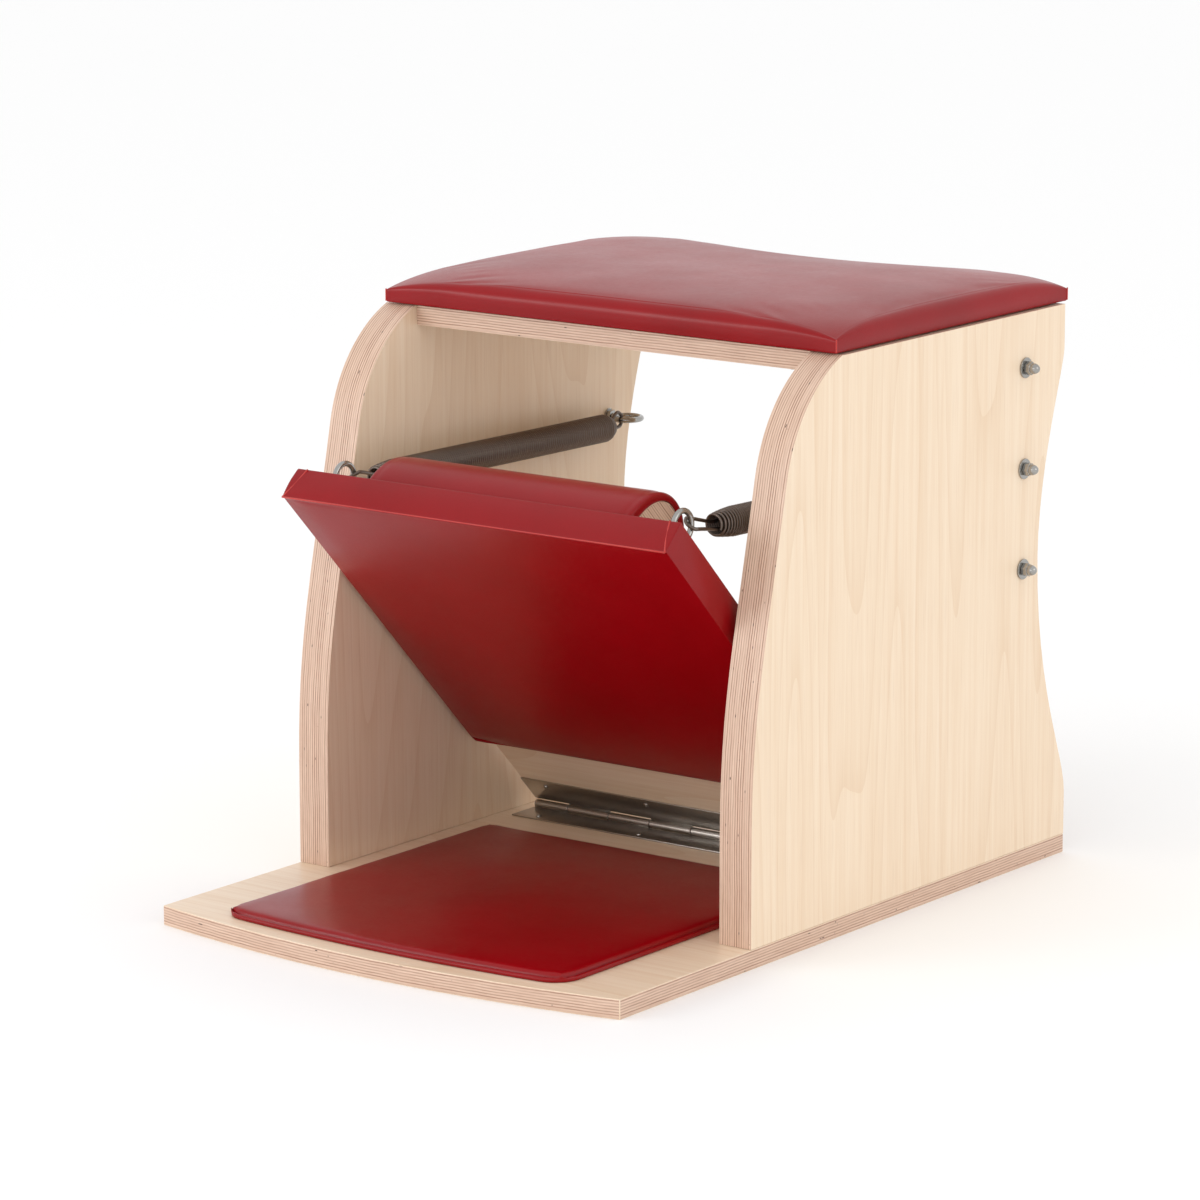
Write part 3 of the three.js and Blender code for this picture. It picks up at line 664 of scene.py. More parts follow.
def make_seat_pad(leather):
    low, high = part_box("seat_pad")
    half, front, rear = high.x, low.y, high.y
    foot, crown = low.z, high.z - low.z
    hollow = 25 * MM
    depth = rear - front
    edge_low, edge_gain = 15 * MM, 15 * MM
    round_low, round_gain = 3 * MM, 6.5 * MM
    upright = 0.55  # share of the edge's stations below its rounding
    near = [1.5 * MM, 4 * MM, 8 * MM, 13 * MM]
    xs = stations(-half, half, 6.5 * MM, near)
    ys = stations(0, depth, 6.5 * MM, near)
    ws = [0, 0.18, 0.37, 0.55, 0.66, 0.78, 0.89, 1]
    points, faces, index = box_grid(xs, ys, ws)

    def shape(x, y, w):
        from_side, from_end = half - abs(x), min(y, depth - y)
        reach = (50 - 16 * y / depth) * MM
        along_side, along_end = rise(from_end, reach), rise(from_side, reach)
        corner = along_side + along_end - along_side * along_end
        sag = 6 * MM * (1 - (x / half) ** 2) ** 2 * (y / depth) ** 3
        height = edge_low + edge_gain * corner - sag
        turn = max(0.0, (w - upright) / (1 - upright)) * math.pi / 2
        bulge = 2.6 * MM * math.sin(math.pi * min(w / 0.8, 1)) * corner
        pull = -2.0 * MM * corner
        lean = 1 - math.cos(turn)
        inset_x = (round_low + round_gain * along_side) * lean - (bulge + pull) * (from_side < TOUCHING)
        inset_y = (round_low + round_gain * along_end) * lean - (bulge + pull) * (from_end < TOUCHING)
        new_x = x * (half - inset_x) / half
        back = hollow * (1 - (new_x / half) ** 2)
        new_y = front + inset_y + y * (depth - 2 * inset_y - back) / depth
        radius = round_low + round_gain * corner
        if w <= upright:
            z = (height - radius) * w / upright
        else:
            z = height - radius + radius * math.sin(turn)
        if w == 1:
            swell = rise(from_side, 60 * MM) * rise(from_end, 60 * MM)
            z += (crown - edge_low - edge_gain) * swell
        return new_x, new_y, foot + z

    pad = mesh_object("seat_cushion", smooth(from_faces([shape(*p) for p in points], faces)), [leather])
    is_corner = {n for (i, j, k), n in index.items() if i in (0, len(xs) - 1) and j in (0, len(ys) - 1)}
    bottom = {n for (i, j, k), n in index.items() if k <= 1}
    grip = [0.0] * len(points)
    for (i, j, k), n in index.items():
        from_corner = math.hypot(half - abs(xs[i]), min(ys[j], depth - ys[j]))
        grip[n] = 1.0 if n in bottom or n in is_corner else math.exp(-(from_corner / (75 * MM)) ** 2)
    inflate(pad, 1.5, 0.9 * MM, grip)
    mark_seams(pad, lambda a, b: a in is_corner and b in is_corner)
    refine(pad)
    settle(pad, "frame", "red_leather", "seat_pad")


def make_foot_mat(leather):
    """A thin mat with rounded corners, its edge rolled over a cord and stitched down behind it."""
    low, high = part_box("base_pad")
    half, foot, top = high.x, low.z, high.z - low.z
    bulge, corner = 14 * MM, 28 * MM
    front, depth = low.y + bulge, high.y - low.y - bulge
    # How high the top lies at each distance in from the edge: the cord, its crease, then the mat.
    roll = [(0.0, 3.6), (1.2, 4.8), (2.8, 5.4), (4.3, 3.9), (5.2, 2.2), (5.9, 3.6), (6.7, 6.3), (8.2, 8.0),
            (10.8, 8.9), (14.5, 9.3), (20.0, 9.6)]
    near = [inset * MM for inset, _ in roll[1:]]
    xs = stations(-half, half, 9 * MM, near)
    ys = stations(0, depth, 9 * MM, near)
    wall = [(0.6, 0.0), (0.2, 1.2), (0.0, 2.4), (0.3, 3.6)]
    points, faces, index = box_grid(xs, ys, range(len(wall)))

    def shape(x, y, w):
        end = min(y, depth - y)
        side = half - abs(x)
        inset, height = wall[w]
        fold = 0.0
        if w == 3 and min(side, end) > 0:
            d = min(side, end)
            height = np.interp(d / MM, [i for i, _ in roll], [h for _, h in roll])
            height += (top / MM - roll[-1][1]) * rise(d - 20 * MM, 60 * MM)
            inset = 0.0
        if side < corner and end < corner:
            u, v = 1 - side / corner, 1 - end / corner
            tuck = math.exp(-((2 - u - v) * corner / (9 * MM)) ** 2) * (x < 0 and y < depth / 2)
            height += 2.6 * tuck * (w > 0)
            fold = math.sin(math.atan2(v, u) * 18) * max(u, v) * (min(side, end) > 1 * MM)
            u, v = u * math.sqrt(1 - v * v / 2), v * math.sqrt(1 - u * u / 2)
            side, end = corner * (1 - u), corner * (1 - v)
        wander = 0.4 * noise.noise(Vector((x * 40, y * 40, 0.3 * w)))
        new_x = math.copysign(half - side - inset * MM * (abs(x) > half - corner), x)
        new_y = end + inset * MM * (end < corner)
        if y > depth / 2:
            new_y = depth - new_y
        share = 1 - min(1.0, new_y / (depth * 0.5))
        new_y += front - bulge * share * (1 - (new_x / half) ** 2)
        z = max(0.0, height + (fold + wander) * (w > 1 and min(side, end) < 22 * MM))
        return new_x, new_y, foot + z * MM

    mat = mesh_object("foot_mat", smooth(from_faces([shape(*p) for p in points], faces)), [leather])
    inner = set(range(len(near), len(xs) - len(near))), set(range(len(near), len(ys) - len(near)))
    grip = [1.0] * len(points)
    for (i, j, k), n in index.items():
        grip[n] = 0.0 if k == 3 and i in inner[0] and j in inner[1] else 1.0
    inflate(mat, 0.6, 0.5 * MM, grip)
    refine(mat)
    settle(mat, "frame", "red_leather", "base_pad")


def make_pedal_pad(leather):
    """Leather over foam, wrapped round the pedal board's face, sides and top edge and lapped on its back."""
    half, top, start = 250 * MM, 596 * MM, 134 * MM
    face, back, slot_top = -9.7 * MM, 28.4 * MM, PEDAL_FACE - 0.3 * MM
    xs = stations(-half, half, 8 * MM, [1.2 * MM, 3.5 * MM, 9 * MM, 12 * MM])
    ys = [-s for s in reversed(stations(start, top, 8 * MM, [1.5 * MM, 4 * MM, 7 * MM, 10 * MM]))]
    zs = [face, face + 1.2 * MM, face + 4 * MM, face + 9 * MM, slot_top, 12 * MM, 19 * MM, PEDAL_BACK, back]
    points, faces, index = box_grid(xs, ys, zs)
    nx, ny, nz = len(xs) - 1, len(ys) - 1, len(zs) - 1

    def is_open(corners):
        x, y, z = [sum(points[c][a] for c in corners) / 4 for a in range(3)]
        on_back = z > back - 0.1 * MM
        on_foot = y > -start - 0.01 * MM
        return abs(x) < PEDAL_HALF and (on_back and y > -PEDAL_REACH or on_foot and z > slot_top)

    def shape(x, y, z):
        s = -y
        from_side, from_top, from_start = half - abs(x), top - s, s - start
        front = z <= face + 0.01 * MM
        push = 0.0
        if front:
            roll = 5 * MM * math.exp(-(from_start / (6 * MM)) ** 2)
            soft = 1.5 * MM * math.exp(-(from_side / (5 * MM)) ** 2)
            swell = 2.2 * MM * rise(from_side, 40 * MM) * rise(from_top, 40 * MM) * rise(from_start, 40 * MM)
            push = roll + soft - swell
        ridge = 1.3 * MM * (front and from_top < TOUCHING)
        pinch = 1.0 * MM * math.sin(math.pi * min(1, max(0, (z - face) / (back - face))))
        new_x = x + math.copysign(pinch, x) * (from_side < TOUCHING)
        new_y = y - pinch * (from_top < TOUCHING) - ridge
        return new_x, new_y, z + push - ridge

    kept = [f for f in faces if not is_open(f)]
    bm = from_faces([shape(*p) for p in points], kept)
    pad = mesh_object("pedal_upholstery", smooth(bm), [leather])
    rim = {n for (i, j, k), n in index.items()
           if k == 0 and j == 0 or i in (0, nx) and (j == 0 or k == 0)}
    nailed = {n for (i, j, k), n in index.items() if k >= nz - 1 or j == ny and k > 3}
    grip = [1.0 if n in rim or n in nailed else 0.0 for n in range(len(points))]
    inflate(pad, 1.5, 1.4 * MM, grip)
    mark_seams(pad, lambda a, b: a in rim and b in rim, 0.35)
    wall = pad.modifiers.new("hide", "SOLIDIFY")
    wall.thickness = HIDE
    wall.offset = -1
    bake_modifiers(pad)
    refine(pad)
    drop_loose(pad)
    pad.data.transform(pedal_frame)
    settle(pad, "pedal", "red_leather", "pedal_pad")


def sew_welts(leather, name, body, place, lines, radius):
    """Sewn seams: thin leather beads along lines given in the frame of place."""
    for n, line in enumerate(lines):
        welt = mesh_object(f"{name}_{n + 1}", bent_wire(through(line, 8), radius, 8), [leather])
        welt.data.transform(place)
        settle(welt, body, "red_leather")


def sew_seat_corners(leather):
    low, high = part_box("seat_pad")
    foot, top = low.z + 1.2 * MM, low.z + 14.6 * MM
    heights = (foot, (foot + top) / 2, top)
    lines = [[(x, y, z) for z in heights] for x in (low.x, high.x) for y in (low.y, high.y)]
    sew_welts(leather, "seat_corner_seam", "frame", Matrix(), lines, 0.8 * MM)


def sew_pedal(leather):
    """The ridge along the pad's front top edge, its two mitres, and the hem of the step's cover."""
    half, top, face, back = 249.6 * MM, 596.4 * MM, -9.9 * MM, 28.2 * MM
    lines = [[(half * share, -top, face) for share in (-1, -0.5, 0, 0.5, 1)]]
    mitre = ((0, face), (7 * MM, face / 3 + back / 2.5), (13 * MM, back))
    for side in (-1, 1):
        lines.append([(side * (half - inset), -top + 0.2 * MM, z) for inset, z in mitre])
    sew_welts(leather, "pedal_seam", "pedal", pedal_frame, lines, 1.0 * MM)
    hem_y, hem_z = STEP_Y - 56.6 * MM, PEDAL_BACK + 6 * MM
    hem = [(x * MM, hem_y, hem_z) for x in (-170, -85, 0, 85, 170)]
    sew_welts(leather, "step_hem", "pedal", pedal_frame, [hem], 1.0 * MM)


def drop_loose(piece):
    bm = bmesh.new()
    bm.from_mesh(piece.data)
    loose = [v for v in bm.verts if not v.link_faces]
    bmesh.ops.delete(bm, geom=loose, context="VERTS")
    bm.to_mesh(piece.data)
    bm.free()


def make_step_cover(leather):
    """The step's foam and leather, swept along X over the half-round block and open at both ends."""
    inner, outer = (44.4 * MM, 64.4 * MM), (57 * MM, 73 * MM)
    half = 172 * MM
    xs = stations(-half, half, 9 * MM, [1.0 * MM, 3 * MM, 9 * MM, 12 * MM])
    arc = [math.pi * i / 48 for i in range(49)]
    points, faces = [], []
    columns = len(arc)
    for x in xs:
        from_end = half - abs(x)
        ease = 2.5 * MM * math.exp(-(from_end / (2.2 * MM)) ** 2)
        seam = 1.0 * MM * math.exp(-((from_end - 9 * MM) / (1.6 * MM)) ** 2)
        for a in arc:
            hem = 1.2 * MM * math.exp(-((min(a, math.pi - a) * outer[0] - 5 * MM) / (2 * MM)) ** 2)
            puff = -ease - seam - hem
            along, up = (outer[0] + puff) * math.cos(a), (outer[1] + puff) * math.sin(a)
            points.append((x, STEP_Y + along, PEDAL_BACK + up))
    offset = len(points)
    for x in xs:
        for a in arc:
            points.append((x, STEP_Y + inner[0] * math.cos(a), PEDAL_BACK + inner[1] * math.sin(a)))
    rows = len(xs)
    for r in range(rows - 1):
        for c in range(columns - 1):
            a, b = r * columns + c, (r + 1) * columns + c
            faces.append([a, b, b + 1, a + 1])
            faces.append([offset + a + 1, offset + b + 1, offset + b, offset + a])
    for r, flip in ((0, False), (rows - 1, True)):
        for c in range(columns - 1):
            a = r * columns + c
            quad = [a, a + 1, offset + a + 1, offset + a]
            faces.append(quad[::-1] if flip else quad)
    for c, flip in ((0, True), (columns - 1, False)):
        for r in range(rows - 1):
            a, b = r * columns + c, (r + 1) * columns + c
            quad = [a, b, offset + b, offset + a]
            faces.append(quad[::-1] if flip else quad)
    bm = from_faces(points, faces)
    bmesh.ops.recalc_face_normals(bm, faces=bm.faces)
    cover = mesh_object("step_upholstery", smooth(bm), [leather])
    held_columns, held_rows = (0, 1, columns - 2, columns - 1), (0, 1, rows - 2, rows - 1)
    held = [n % columns in held_columns or n // columns in held_rows for n in range(offset)]
    held += [True] * offset
    inflate(cover, 2.0, 1.2 * MM, held)
    refine(cover)
    cover.data.transform(pedal_frame)
    settle(cover, "pedal", "red_leather", "pedal_step_cover")


# ---- Springs ----
COIL_START, COIL_STOP, COIL_SAG, COIL_PITCH = 18 * MM, 53 * MM, 6 * MM, 3.6 * MM
LOOP_WIRE, LOOP_BEND, LOOP_NECK, LOOP_REACH = 2 * MM, 8.5 * MM, 5.5 * MM, 24 * MM


def spring_frame(side):
    """The frame whose +Y runs from the frame eye to the pedal eye, and how far apart they are."""
    rear, front = joint_at[f"spring_{side}_swing"], joint_at[f"spring_{side}_hook_turn"]
    along = (front - rear).normalized()
    across = along.cross(Vector((0, 0, 1))).normalized()
    axes = Matrix((across, along, across.cross(along))).transposed()
    return Matrix.Translation(rear) @ axes.to_4x4(), (front - rear).length


def coil_tree():
    """Geometry nodes: a close-wound wire whose turns open and narrow towards each end."""
    sizes = {"Length": 0.43, "Turns": 130.0, "Radius": 14.4 * MM, "Mouth Radius": 9.8 * MM,
             "Wire Radius": 1.6 * MM, "Front Cone": 0.07, "Rear Cone": 0.03, "Finish": "Material"}
    tree, given, result = node_group("wound coil", "GeometryNodeTree", sizes, {"Geometry": "Geometry"})
    line = add(tree, "GeometryNodeCurvePrimitiveLine")
    line.inputs["Start"].default_value = (0, 0, 0)
    line.inputs["End"].default_value = (0, 1, 0)
    fine = add(tree, "GeometryNodeResampleCurve")
    tree.links.new(line.outputs[0], fine.inputs["Curve"])
    count = calc(tree, "MULTIPLY", given["Turns"], 18.0)
    tree.links.new(count, fine.inputs["Count"])
    share = add(tree, "GeometryNodeSplineParameter").outputs["Factor"]
    rear_rise = fit(tree, share, 0.0, given["Rear Cone"], smooth=True)
    front_start = calc(tree, "SUBTRACT", 1.0, given["Front Cone"])
    front_drop = fit(tree, share, front_start, 1.0, 1.0, 0.0)
    front_round = calc(tree, "POWER", front_drop, 0.6)
    full = calc(tree, "MULTIPLY", rear_rise, front_round)
    gain = calc(tree, "SUBTRACT", given["Radius"], given["Mouth Radius"])
    radius = calc(tree, "ADD", given["Mouth Radius"], calc(tree, "MULTIPLY", full, gain))
    # The last turns stand apart: the winding slows down over the front cone.
    opening = calc(tree, "POWER", calc(tree, "SUBTRACT", 1.0, front_drop), 2.0)
    wound = calc(tree, "SUBTRACT", share, calc(tree, "MULTIPLY", opening, 0.012))
    angle = calc(tree, "MULTIPLY", calc(tree, "MULTIPLY", wound, given["Turns"]), 2 * math.pi)
    x = calc(tree, "MULTIPLY", radius, calc(tree, "COSINE", angle))
    z = calc(tree, "MULTIPLY", radius, calc(tree, "SINE", angle))
    y = calc(tree, "MULTIPLY", share, given["Length"])
    wind = add(tree, "GeometryNodeSetPosition")
    tree.links.new(fine.outputs[0], wind.inputs["Geometry"])
    tree.links.new(join_xyz(tree, x, y, z), wind.inputs["Position"])
    section = add(tree, "GeometryNodeCurvePrimitiveCircle")
    section.inputs["Resolution"].default_value = 8
    tree.links.new(given["Wire Radius"], section.inputs["Radius"])
    sweep = add(tree, "GeometryNodeCurveToMesh")
    tree.links.new(wind.outputs[0], sweep.inputs["Curve"])
    tree.links.new(section.outputs[0], sweep.inputs["Profile Curve"])
    sweep.inputs["Fill Caps"].default_value = True
    soft = add(tree, "GeometryNodeSetShadeSmooth")
    tree.links.new(sweep.outputs[0], soft.inputs[0])
    finish_tree(tree, soft.outputs[0], given["Finish"], result)
    return tree


def finish_tree(tree, geometry, finish, result):
    """Ends a geometry tree: real meshes in one material."""
    real = add(tree, "GeometryNodeRealizeInstances")
    coat = add(tree, "GeometryNodeSetMaterial")
    tree.links.new(geometry, real.inputs[0])
    tree.links.new(real.outputs[0], coat.inputs["Geometry"])
    tree.links.new(finish, coat.inputs["Material"])
    tree.links.new(coat.outputs[0], result[0])


def grow(piece, tree, values):
    """Runs a geometry tree on the piece with these inputs, and keeps the mesh that it makes."""
    modifier = piece.modifiers.new(tree.name, "NODES")
    modifier.node_group = tree
    for item in tree.interface.items_tree:
        if item.item_type == "SOCKET" and item.in_out == "INPUT" and item.name in values:
            modifier[item.identifier] = values[item.name]
    piece.update_tag()
    bpy.context.view_layer.update()
    return bake_modifiers(piece)


def spring_loop(bend, mouth, tilt):
    """The line of a drawn-in hook: its bend sits at bend, its legs run into the coil at mouth."""
    inward = math.copysign(1, mouth - bend)
    centre = bend + inward * LOOP_BEND
    tip, waist = mouth + inward * LOOP_REACH, mouth + inward * LOOP_REACH * 0.5
    leg = [(LOOP_NECK, tip, COIL_SAG), (LOOP_NECK, waist, COIL_SAG), (LOOP_NECK, mouth, COIL_SAG),
           (LOOP_BEND, centre + inward * 2 * MM, 0)]
    angles = [math.pi * n / 6 for n in range(1, 6)]
    arc = [(LOOP_BEND * math.cos(a), centre - inward * LOOP_BEND * math.sin(a), 0) for a in angles]
    flat = [*leg, *arc, *[(-spread, y, drop) for spread, y, drop in reversed(leg)]]
    return [(s * math.cos(tilt), y, s * math.sin(tilt) - drop) for s, y, drop in flat]


def make_springs(steel):
    tree = coil_tree()
    for side, sign in SIDES.items():
        place, span = spring_frame(side)
        start, stop = COIL_START, span - COIL_STOP
        length = stop - start
        seed = bmesh.new()
        seed.verts.new((0, 0, 0))
        coil = mesh_object(f"spring_coil_{side}_wound", seed)
        grow(coil, tree, {"Length": length, "Turns": float(round(length / COIL_PITCH)), "Finish": steel})
        coil.data.transform(place @ Matrix.Translation((0, start, -COIL_SAG)))
        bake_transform(coil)
        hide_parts("spring_coil_" + side)
        reach = EYE_WIRE + LOOP_WIRE
        lines = {
            "rear": spring_loop(-reach - 0.4 * MM, start, math.pi / 2),
            "front": spring_loop(span - EYE_RADIUS + reach + 0.8 * MM, stop, sign * math.radians(35)),
        }
        for end, line in lines.items():
            loop = mesh_object(f"spring_hook_{side}_{end}", bent_wire(through(line, 6), LOOP_WIRE), [steel])
            loop.data.transform(place)
            settle(loop, f"spring_{side}_{end}", "spring_steel", f"spring_{end}_loop_{side}")


# ---- Fasteners ----
def repeat_tree():
    """Geometry nodes: one small part at each point, turned by the point's own angles."""
    inputs = {"Geometry": "Geometry", "Part": "Object", "Finish": "Material"}
    tree, given, result = node_group("repeated part", "GeometryNodeTree", inputs, {"Geometry": "Geometry"})
    part = add(tree, "GeometryNodeObjectInfo")
    tree.links.new(given["Part"], part.inputs["Object"])
    turn = add(tree, "GeometryNodeInputNamedAttribute", data_type="FLOAT_VECTOR")
    turn.inputs["Name"].default_value = "turn"
    scatter = add(tree, "GeometryNodeInstanceOnPoints")
    tree.links.new(given["Geometry"], scatter.inputs["Points"])
    tree.links.new(part.outputs["Geometry"], scatter.inputs["Instance"])
    tree.links.new(turn.outputs["Attribute"], scatter.inputs["Rotation"])
    finish_tree(tree, scatter.outputs[0], given["Finish"], result)
    return tree


def repeat(name, part, places, finish, tree):
    """One mesh that holds a copy of the part at each place, which is a matrix."""
    template = mesh_object(name + "_template", part)
    points = bmesh.new()
    for place in places:
        points.verts.new(place.to_translation())
    piece = mesh_object(name, points)
    turn = piece.data.attributes.new("turn", "FLOAT_VECTOR", "POINT")
    turn.data.foreach_set("vector", [a for place in places for a in place.to_euler()])
    grow(piece, tree, {"Part": template, "Finish": finish})
    bpy.data.objects.remove(template)
    return piece


def merge(*parts):
    """Several meshes as one."""
    whole = bmesh.new()
    for part in parts:
        mesh = bpy.data.meshes.new("part")
        part.to_mesh(mesh)
        part.free()
        whole.from_mesh(mesh)
        bpy.data.meshes.remove(mesh)
    return whole


def shifted(bm, matrix):
    bmesh.ops.transform(bm, matrix=matrix, verts=bm.verts)
    return bm


def ease_edges(bm, radius):
    """Rounds every edge a little."""
    bmesh.ops.bevel(bm, geom=bm.edges[:], offset=radius, segments=2, profile=0.5, affect="EDGES")
    return bm


def hexagon(low, high):
    """A nut's hexagonal prism about Z with its corners eased."""
    bm = bmesh.new()
    radius = NUT_FLATS / math.sqrt(3)
    bmesh.ops.create_cone(bm, segments=6, radius1=radius, radius2=radius, depth=high - low, cap_ends=True)
    shifted(bm, Matrix.Translation((0, 0, (low + high) / 2)))
    return ease_edges(bm, 0.5 * MM)


def ring_wire(centre, axis):
    """An eye: a closed wire ring about an axis."""
    spin = Vector(axis).to_track_quat("Z", "Y").to_matrix()
    angles = [2 * math.pi * i / 56 for i in range(56)]
    circle = [Vector((EYE_RADIUS * math.cos(a), EYE_RADIUS * math.sin(a), 0)) for a in angles]
    return bent_wire([centre + spin @ point for point in circle], EYE_WIRE, 16, closed=True)


def threaded_rod(low, high):
    """A bolt's shank about Z with thread ridges."""
    radius, pitch = BOLT_RADIUS, 1.25 * MM
    profile = [(0, low), (radius - 0.6 * MM, low)]
    ridges = int((high - low - 1 * MM) / pitch)
    for i in range(ridges):
        z = low + 0.5 * MM + i * pitch
        profile += [(radius - 0.45 * MM, z), (radius, z + pitch / 2)]
    profile += [(radius - 0.6 * MM, high), (0, high)]
    return lathe(profile, 20)


def washer(radius, hole, low, high):
    round_off = 0.3 * MM
    inside = radius - round_off
    profile = [(hole, low), (inside, low), (radius, low + round_off), (radius, high - round_off),
               (inside, high), (hole, high), (hole, low)]
    return lathe(profile, 40)


def cap_nut():
    """A domed nut about Z, from its foot at zero."""
    dome = [(0, 5.5), (5.9, 5.5), (5.95, 8.0), (5.75, 9.8), (5.2, 11.6), (4.3, 13.2), (3.1, 14.5),
            (1.6, 15.3), (0, 15.6)]
    return merge(hexagon(0, 6.8 * MM), lathe([(r * MM, z * MM) for r, z in dome], 32))


def pan_head(radius, height, shank, length):
    """A cross-recess screw about Z, head up, its seat at zero."""
    dome = [(0, -length), (shank, -length + 2 * MM), (shank, 0), (radius, 0), (radius, height * 0.25)]
    dome += [(radius * 0.93, height * 0.6), (radius * 0.7, height * 0.9), (0, height)]
    head = lathe(dome, 28)
    slots = []
    for turn in (0, math.pi / 2):
        bar = bmesh.new()
        bmesh.ops.create_cube(bar, size=1)
        slot = Matrix.Translation((0, 0, height * 0.98)) @ Matrix.Rotation(turn, 4, "Z")
        slots.append(shifted(bar, slot @ Matrix.Diagonal((radius * 1.15, radius * 0.26, height * 0.9, 1))))
    body = mesh_object("screw_body", head)
    cutter = mesh_object("screw_cross", merge(*slots))
    cut = body.modifiers.new("recess", "BOOLEAN")
    cut.operation, cut.solver, cut.object = "DIFFERENCE", "EXACT", cutter
    cut.use_self = True
    bake_modifiers(body)
    bm = bmesh.new()
    bm.from_mesh(body.data)
    bpy.data.objects.remove(body)
    bpy.data.objects.remove(cutter)
    return bm


def sharpen(piece, angle=35):
    piece.data.set_sharp_from_angle(angle=math.radians(angle))
    return piece


def facing(axis, place, spin):
    """A matrix that brings +Z to the axis at a place."""
    turn = Vector(axis).to_track_quat("Z", "Y").to_matrix().to_4x4()
    return Matrix.Translation(place) @ turn @ Matrix.Rotation(spin, 4, "Z")


def frame_stations():
    """For each frame eye: its outward direction and its ring's centre."""
    found = []
    for side, sign in SIDES.items():
        for row in ROWS:
            low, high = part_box(f"frame_eyebolt_{side}_{row}")
            ring_x = (low.x if sign > 0 else high.x) + sign * (EYE_RADIUS + EYE_WIRE)
            found.append((sign, Vector((ring_x, (low.y + high.y) / 2, (low.z + high.z) / 2))))
    return found


def make_frame_hardware(zinc, tree):
    """Six eyebolts through the side panels, each with its inner nut, washer and domed nut."""
    eyes = frame_stations()
    outward = [facing((sign, 0, 0), centre, 0.4 * n) for n, (sign, centre) in enumerate(eyes)]
    names = [f"{side}_{row}" for side in SIDES for row in ROWS]
    ring_x = abs(eyes[0][1].x)
    inner_face, outer_face = PANEL_INNER - ring_x, PANEL_OUTER - ring_x

    def fit_all(name, part, family, angle=35):
        piece = repeat(name, part, outward, zinc, tree)
        settle(sharpen(piece, angle), "frame", "bright_zinc", *[f"{family}_{n}" for n in names])

    fit_all("frame_bolts", threaded_rod(EYE_RADIUS, BOLT_END - ring_x), "frame_eyebolt", 50)
    rings = merge(*[ring_wire(centre, (0, 0, 1)) for _, centre in eyes])
    settle(mesh_object("frame_eye_rings", rings, [zinc]), "frame", "bright_zinc")
    flange = washer(8.5 * MM, 4.2 * MM, inner_face - 1.9 * MM, inner_face - 0.3 * MM)
    nut = hexagon(inner_face - 7.2 * MM, inner_face - 1.5 * MM)
    fit_all("inner_nuts", merge(flange, nut), "frame_eye_nut")
    flat = washer(11.2 * MM, 4.4 * MM, outer_face + 0.3 * MM, outer_face + 2.1 * MM)
    fit_all("outer_washers", flat, "frame_washer")
    dome = shifted(cap_nut(), Matrix.Translation((0, 0, outer_face + 2.4 * MM)))
    fit_all("domed_nuts", dome, "frame_cap_nut")


def make_pedal_eyes(zinc):
    for side, sign in SIDES.items():
        centre = Vector((sign * PEDAL_EYE_X, PEDAL_EYE_Y, PEDAL_EYE_Z))
        to_centre = Matrix.Translation(centre)
        rod = shifted(threaded_rod(-40.3 * MM, -EYE_RADIUS), to_centre)
        collar = shifted(washer(7 * MM, 3 * MM, -21.5 * MM, -19.0 * MM), to_centre)
        eye = mesh_object(f"pedal_eye_{side}", merge(ring_wire(centre, (1, 0, 0)), rod, collar), [zinc])
        eye.data.transform(pedal_frame)
        settle(sharpen(eye, 50), "pedal", "bright_zinc", "pedal_eyebolt_" + side)


def make_screws(steel, zinc, tree):
    """Four screws in each hinge leaf and four up into the seat, each turned a step on from the last."""
    up, down = Vector((0, 0, 1)), Vector((0, 0, -1))
    forward = pedal_frame.to_3x3() @ down
    small, large = (3.4 * MM, 1.4 * MM, 1.9 * MM, 12.5 * MM), (5 * MM, 3 * MM, 2.4 * MM, 28 * MM)
    families = [
        ("base_hinge_screw", "frame", up, small, 0.5, 1, steel, "stainless"),
        ("pedal_hinge_screw", "pedal", forward, small, 0.5, 1, steel, "stainless"),
        ("seat_screw", "frame", down, large, 0, 0.3, zinc, "bright_zinc"),
    ]
    for family, body, axis, sizes, turn, step, finish, slot in families:
        names = [f"{family}_{n}" for n in (1, 2, 3, 4)]
        seats = [seat_of(name, axis, sizes[1]) for name in names]
        places = [facing(axis, seat, turn + step * i) for i, seat in enumerate(seats)]
        screws = repeat(family + "s", pan_head(*sizes), places, finish, tree)
        settle(sharpen(screws), body, slot, *names)


def seat_of(node, axis, height):
    """Where a screw's head meets what it holds: its highest point along the axis, less the head."""
    points = [v.co for v in frame["nodes"][node].data.vertices]
    top = max(p.dot(axis) for p in points)
    tip = [p for p in points if p.dot(axis) > top - 0.05 * MM]
    centre = sum(tip, Vector()) / len(tip)
    return centre - axis * height


def eased_box(low, high, radius):
    bm = bmesh.new()
    bmesh.ops.create_cube(bm, size=1)
    low, high = Vector(low), Vector(high)
    shifted(bm, Matrix.Translation((low + high) / 2) @ Matrix.Diagonal((*(high - low), 1)))
    return ease_edges(bm, radius)


def barrel(radius, x0, x1, chamfer, bore=0):
    """A round bar along X with eased ends, or a tube if it has a bore."""
    inside = radius - chamfer
    profile = [(bore, x0), (inside, x0), (radius, x0 + chamfer), (radius, x1 - chamfer),
               (inside, x1), (bore, x1)]
    if bore:
        profile.append(profile[0])
    return shifted(lathe(profile, 28), Matrix.Rotation(math.pi / 2, 4, "Y"))


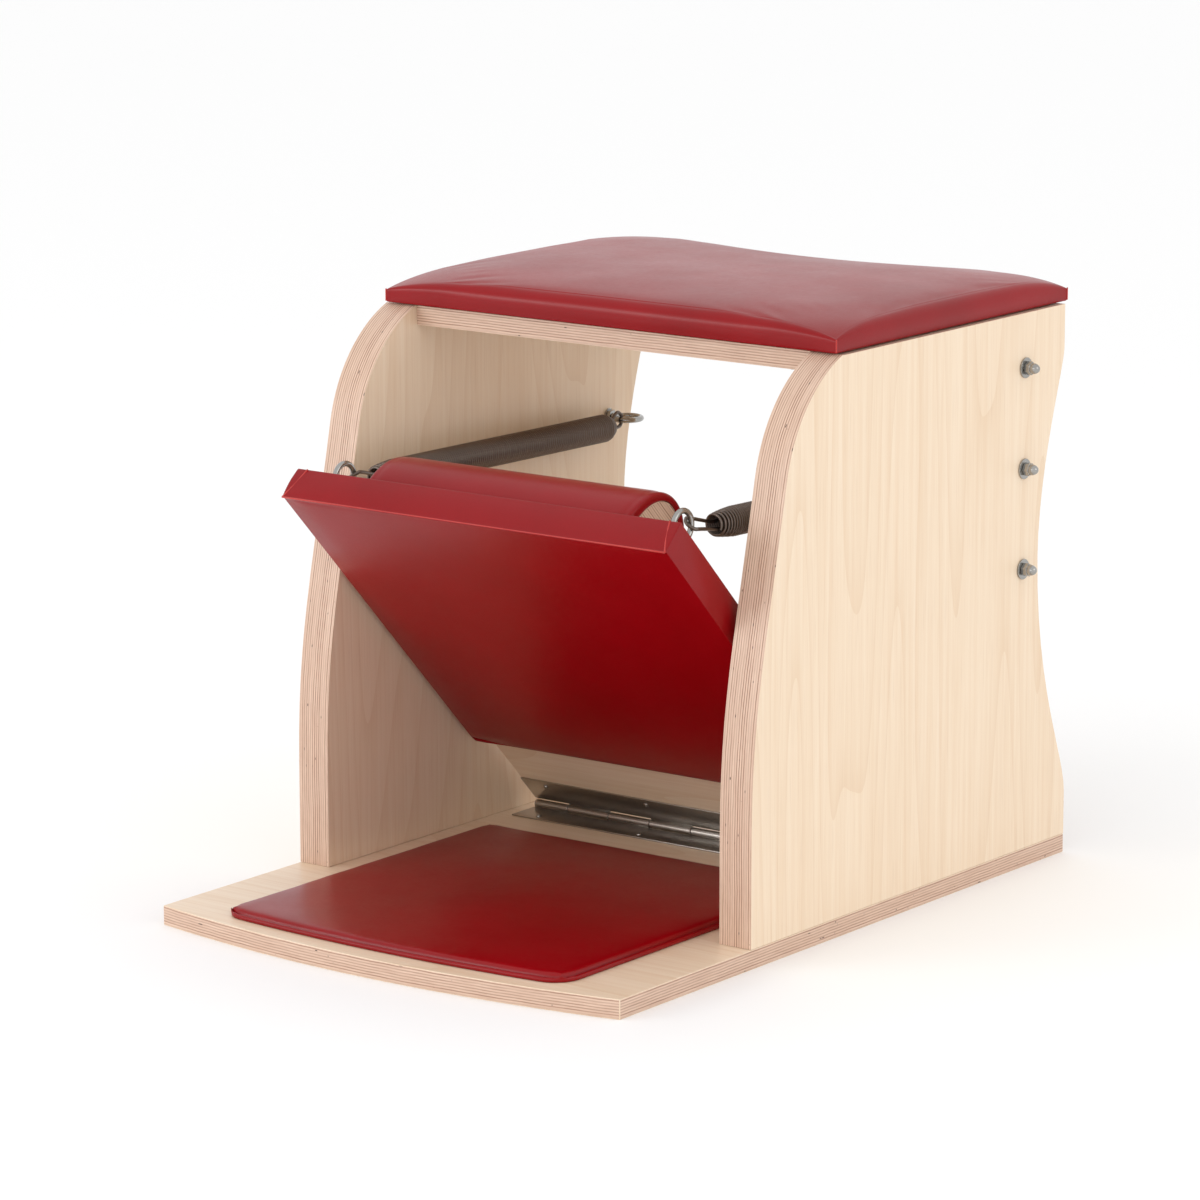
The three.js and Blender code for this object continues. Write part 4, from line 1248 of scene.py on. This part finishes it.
def hinge_leaf(first, face):
    """One leaf in the hinge's own frame: its plate runs along -Y, and every other knuckle is its own."""
    half, width, thick, radius, gap, relief = HINGE_HALF, 46 * MM, 1.6 * MM, 5 * MM, 0.35 * MM, 6.2 * MM
    first_end, knuckle, bore = 46.7 * MM, 57 * MM, 2.3 * MM
    ends = [-half, *[-half + first_end + knuckle * i for i in range(8)], half]
    low, high = sorted((face * (radius - thick), face * radius))
    parts = [eased_box((-half, -width, low), (half, -relief, high), 0.3 * MM)]
    for x0, x1 in list(zip(ends, ends[1:]))[first::2]:
        parts.append(eased_box((x0 + gap, -relief - 1 * MM, low), (x1 - gap, 0, high), 0.2 * MM))
        parts.append(barrel(radius, x0 + gap, x1 - gap, 0.6 * MM, bore))
    return merge(*parts)


def make_hinge(steel):
    at_hinge = Matrix.Translation(hinge_line)
    leaves = [("base", "frame", 0, -1, at_hinge), ("pedal", "pedal", 1, 1, pedal_frame)]
    for name, body, first, face, place in leaves:
        leaf = mesh_object(f"hinge_leaf_{name}_eased", smooth(hinge_leaf(first, face)), [steel])
        leaf.data.transform(place)
        settle(sharpen(leaf, 30), body, "stainless", "hinge_leaf_" + name)
    pin = mesh_object("hinge_pin_eased", barrel(2 * MM, -HINGE_HALF, HINGE_HALF, 0.4 * MM), [steel])
    pin.data.transform(at_hinge)
    settle(sharpen(pin), "frame", "stainless", "hinge_pin")


# ---- Everything ----
set_camera()
light_studio()
lay_floor()

leather = red_hide("red hide", 0.32, shade(134, 0, 6), shade(146, 2, 12), shade(98, 0, 4))
# A lighter copy of the red hide for the welts and hem: its lighter reds are painted highlight along the sewn
# ridges.
highlit = red_hide("rubbed red hide", 0.28, shade(178, 48, 46), shade(196, 72, 66), shade(140, 20, 22))
steel = metal("brushed stainless", shade(186, 181, 175), shade(150, 142, 134), 0.3, (30.0, 900.0, 900.0))
zinc = metal("bright zinc", shade(176, 175, 172), shade(112, 106, 100), 0.18, dirt=0.5)
spring_steel = metal("oiled spring steel", shade(112, 101, 94), shade(70, 58, 52), 0.3)

make_boards()
make_seat_pad(leather)
make_foot_mat(leather)
make_pedal_pad(leather)
make_step_cover(leather)
# The welts and the step's hem take the lighter hide, whose colour is painted highlight on their ridges.
sew_seat_corners(highlit)
sew_pedal(highlit)
make_springs(spring_steel)
repeated = repeat_tree()
make_frame_hardware(zinc, repeated)
make_pedal_eyes(zinc)
make_screws(steel, zinc, repeated)
make_hinge(steel)
veneer = bpy.data.materials["seat_board veneer"]
stand_ins = {"seat_pad_board": veneer, "pedal_tee_nut_left": zinc, "pedal_tee_nut_right": zinc}
for plain, finish in stand_ins.items():
    skins = frame["nodes"][plain].data.materials
    skins.clear()
    skins.append(finish)
